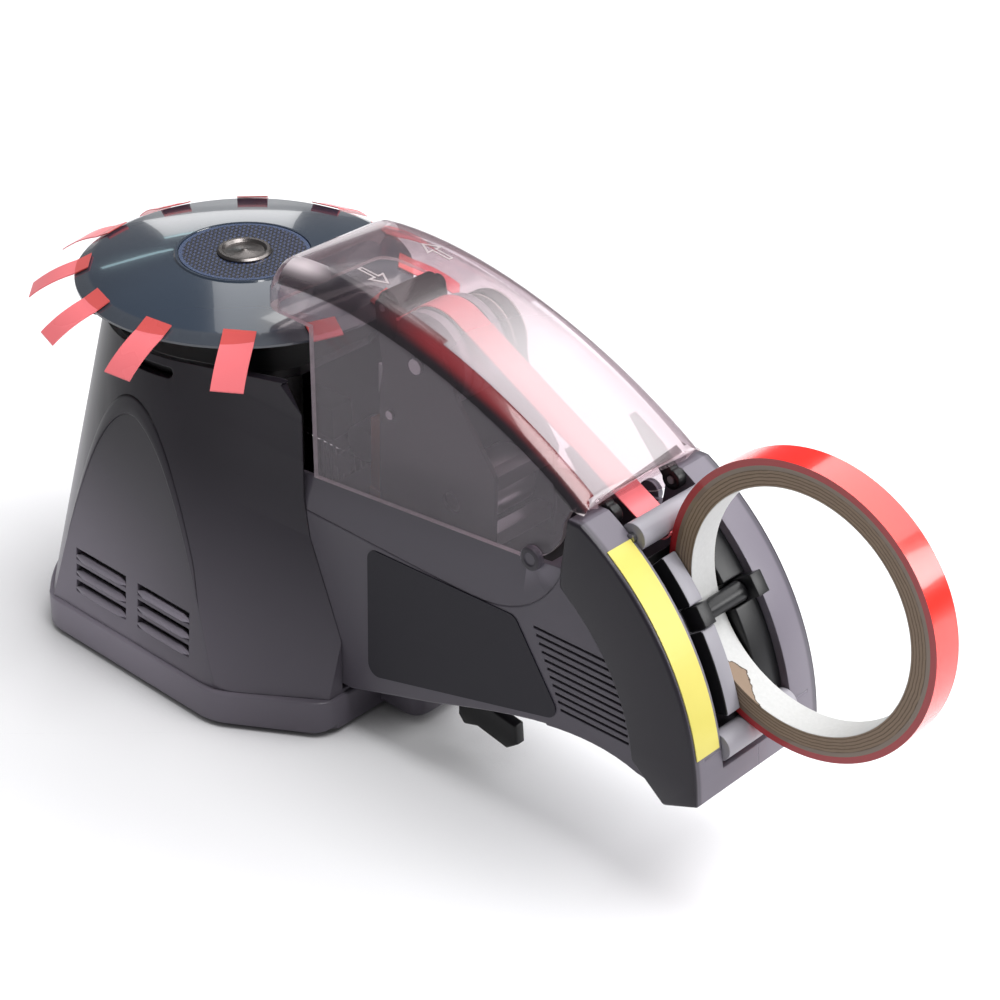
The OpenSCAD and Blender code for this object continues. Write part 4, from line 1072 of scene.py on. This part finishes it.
ARROW_OUTER = ((-7, -1), (0, -1), (0, -3.4), (6, 0), (0, 3.4), (0, 1), (-7, 1))
ARROW_INNER = ((-6.3, -0.4), (0.7, -0.4), (0.7, -2.2), (4.6, 0), (0.7, 2.2), (0.7, 0.4), (-6.3, 0.4))
ARROW_FOOT, ARROW_TOP = -0.1, 0.09
DROP_FROM = 0.3


def arrow(name, centre, way):
    """A raised outline of an arrow on the cover's roof, pointing along X."""
    roof = dressed["clear_cover"]

    def drop(point, lift):
        x, y = centre[0] + way * point[0], centre[1] + point[1]
        place = roof.ray_cast(Vector((x * MM + AXIS_X, y * MM, DROP_FROM)), Vector((0, 0, -1)))[1]
        return (x, y, place.z / MM + lift)

    section = ((ARROW_OUTER, ARROW_FOOT), (ARROW_OUTER, ARROW_TOP), (ARROW_INNER, ARROW_TOP),
               (ARROW_INNER, ARROW_FOOT))
    verts = [drop(point, lift) for shape, lift in section for point in shape]
    faces = [face for i in range(4) for face in between(i, (i + 1) % 4, len(ARROW_OUTER))]
    return add_piece(name, verts, faces, finish["cut_edge"], "clear_cover", 20.0)


arrow("close_arrow", (73.0, -12.0), 1)
arrow("open_arrow", (73.0, 14.0), -1)
print("bosses, sleeve and arrows")

# %% [markdown]
# ## The ground
# The ground is white paper that keeps the soft shadow. Part of its white is its own glow,
# for the eye, for mirrors and through clear pieces alike, so the lamps stay at a plain level.
# Close to a foot less sky is open to the paper, and an Ambient Occlusion node darkens it there.

# %% White ground
GROUND_HALF = 30.0
CONTACT = 22.0 * MM  # how far the shade of a foot reaches over the paper
GLOW_SHARE = 0.24


def ground():
    corners = [(-1, -1), (1, -1), (1, 1), (-1, 1)]
    mesh = bpy.data.meshes.new("ground")
    mesh.from_pydata([(x * GROUND_HALF, y * GROUND_HALF, 0) for x, y in corners], [], [(0, 1, 2, 3)])
    paint = Paint("ground_paper", roughness=0.9)
    fibre = paint.noise(900.0, 3.0)
    open_sky = paint.node("ShaderNodeAmbientOcclusion", dict(samples=6), {"Distance": CONTACT}, out="AO")
    sky = open_sky.smooth(0.1, 0.9)
    paper = paint.mix(fibre, (0.87, 0.87, 0.89), (0.89, 0.89, 0.91))
    paint.set(base_color=paint.mix(sky, (0.30, 0.285, 0.31), paper))
    eye, mirror, through = (paint.node("ShaderNodeLightPath", out="Is %s Ray" % kind)
                            for kind in ("Camera", "Glossy", "Transmission"))
    glow = paint.node("ShaderNodeEmission")
    paint.blend(eye.most(mirror).most(through) * sky * GLOW_SHARE, paint.principled, glow)
    mesh.materials.append(paint.material)
    put("ground", mesh)


ground()
print("ground of", 2 * GROUND_HALF, "metres")

# %% [markdown]
# ## Light
# The main box hangs above the tail: it whitens the roof of the cover and leaves the near side in soft shade.
# Small boxes far to the left are there for the disc, which mirrors them as patches and streaks.
# A picture of a studio could light the scene as well, but each lamp here has one task and can be moved alone.

# %% World and soft lamps
def studio_world(level):
    world = bpy.data.worlds.new("studio")
    bpy.context.scene.world = world
    world.use_nodes = True
    world.node_tree.nodes["Background"].inputs["Color"].default_value = (level, level, level * 1.03, 1)


def soft_lamp(name, place, target, size, brightness, colour=(1, 1, 1)):
    """A rectangular box light whose face has a set brightness, in units of the paper's white."""
    data = bpy.data.lights.new(name, "AREA")
    data.shape, data.size, data.size_y = "RECTANGLE", size[0], size[1]
    data.energy = brightness * math.pi * size[0] * size[1]
    data.color = colour
    lamp = put(name, data)
    lamp.location = place
    lamp.rotation_euler = (Vector(target) - Vector(place)).to_track_quat("-Z", "Y").to_euler()


WORLD_LEVEL = 0.20
DISC_TOP = (AXIS_X, 0, 0.138)
TEAL = (0.65, 0.95, 1.0)
studio_world(WORLD_LEVEL)
soft_lamp("top_box", (0.65, 0.10, 1.80), (0.05, 0, 0.05), (1.10, 1.10), 9.6)
soft_lamp("back_box", (0.05, 0.85, 1.05), (0.0, 0, 0.12), (1.35, 0.9), 3.2)
soft_lamp("tail_box", (0.85, 0.55, 0.55), (0.09, 0, 0.08), (0.5, 0.5), 9.0)
soft_lamp("disc_box", (-0.62, 0.52, 1.02), DISC_TOP, (0.32, 0.80), 1.9)
soft_lamp("disc_low_box", (-0.996, 0.739, 0.27), DISC_TOP, (0.28, 0.28), 1.5)
soft_lamp("glint_one", (-1.062, 0.484, 0.562), DISC_TOP, (0.21, 0.025), 3.0, TEAL)
soft_lamp("glint_two", (-1.050, 0.650, 0.425), DISC_TOP, (0.08, 0.025), 2.4, TEAL)
bpy.context.scene.view_settings.view_transform = "Standard"
print("world and seven lamps")
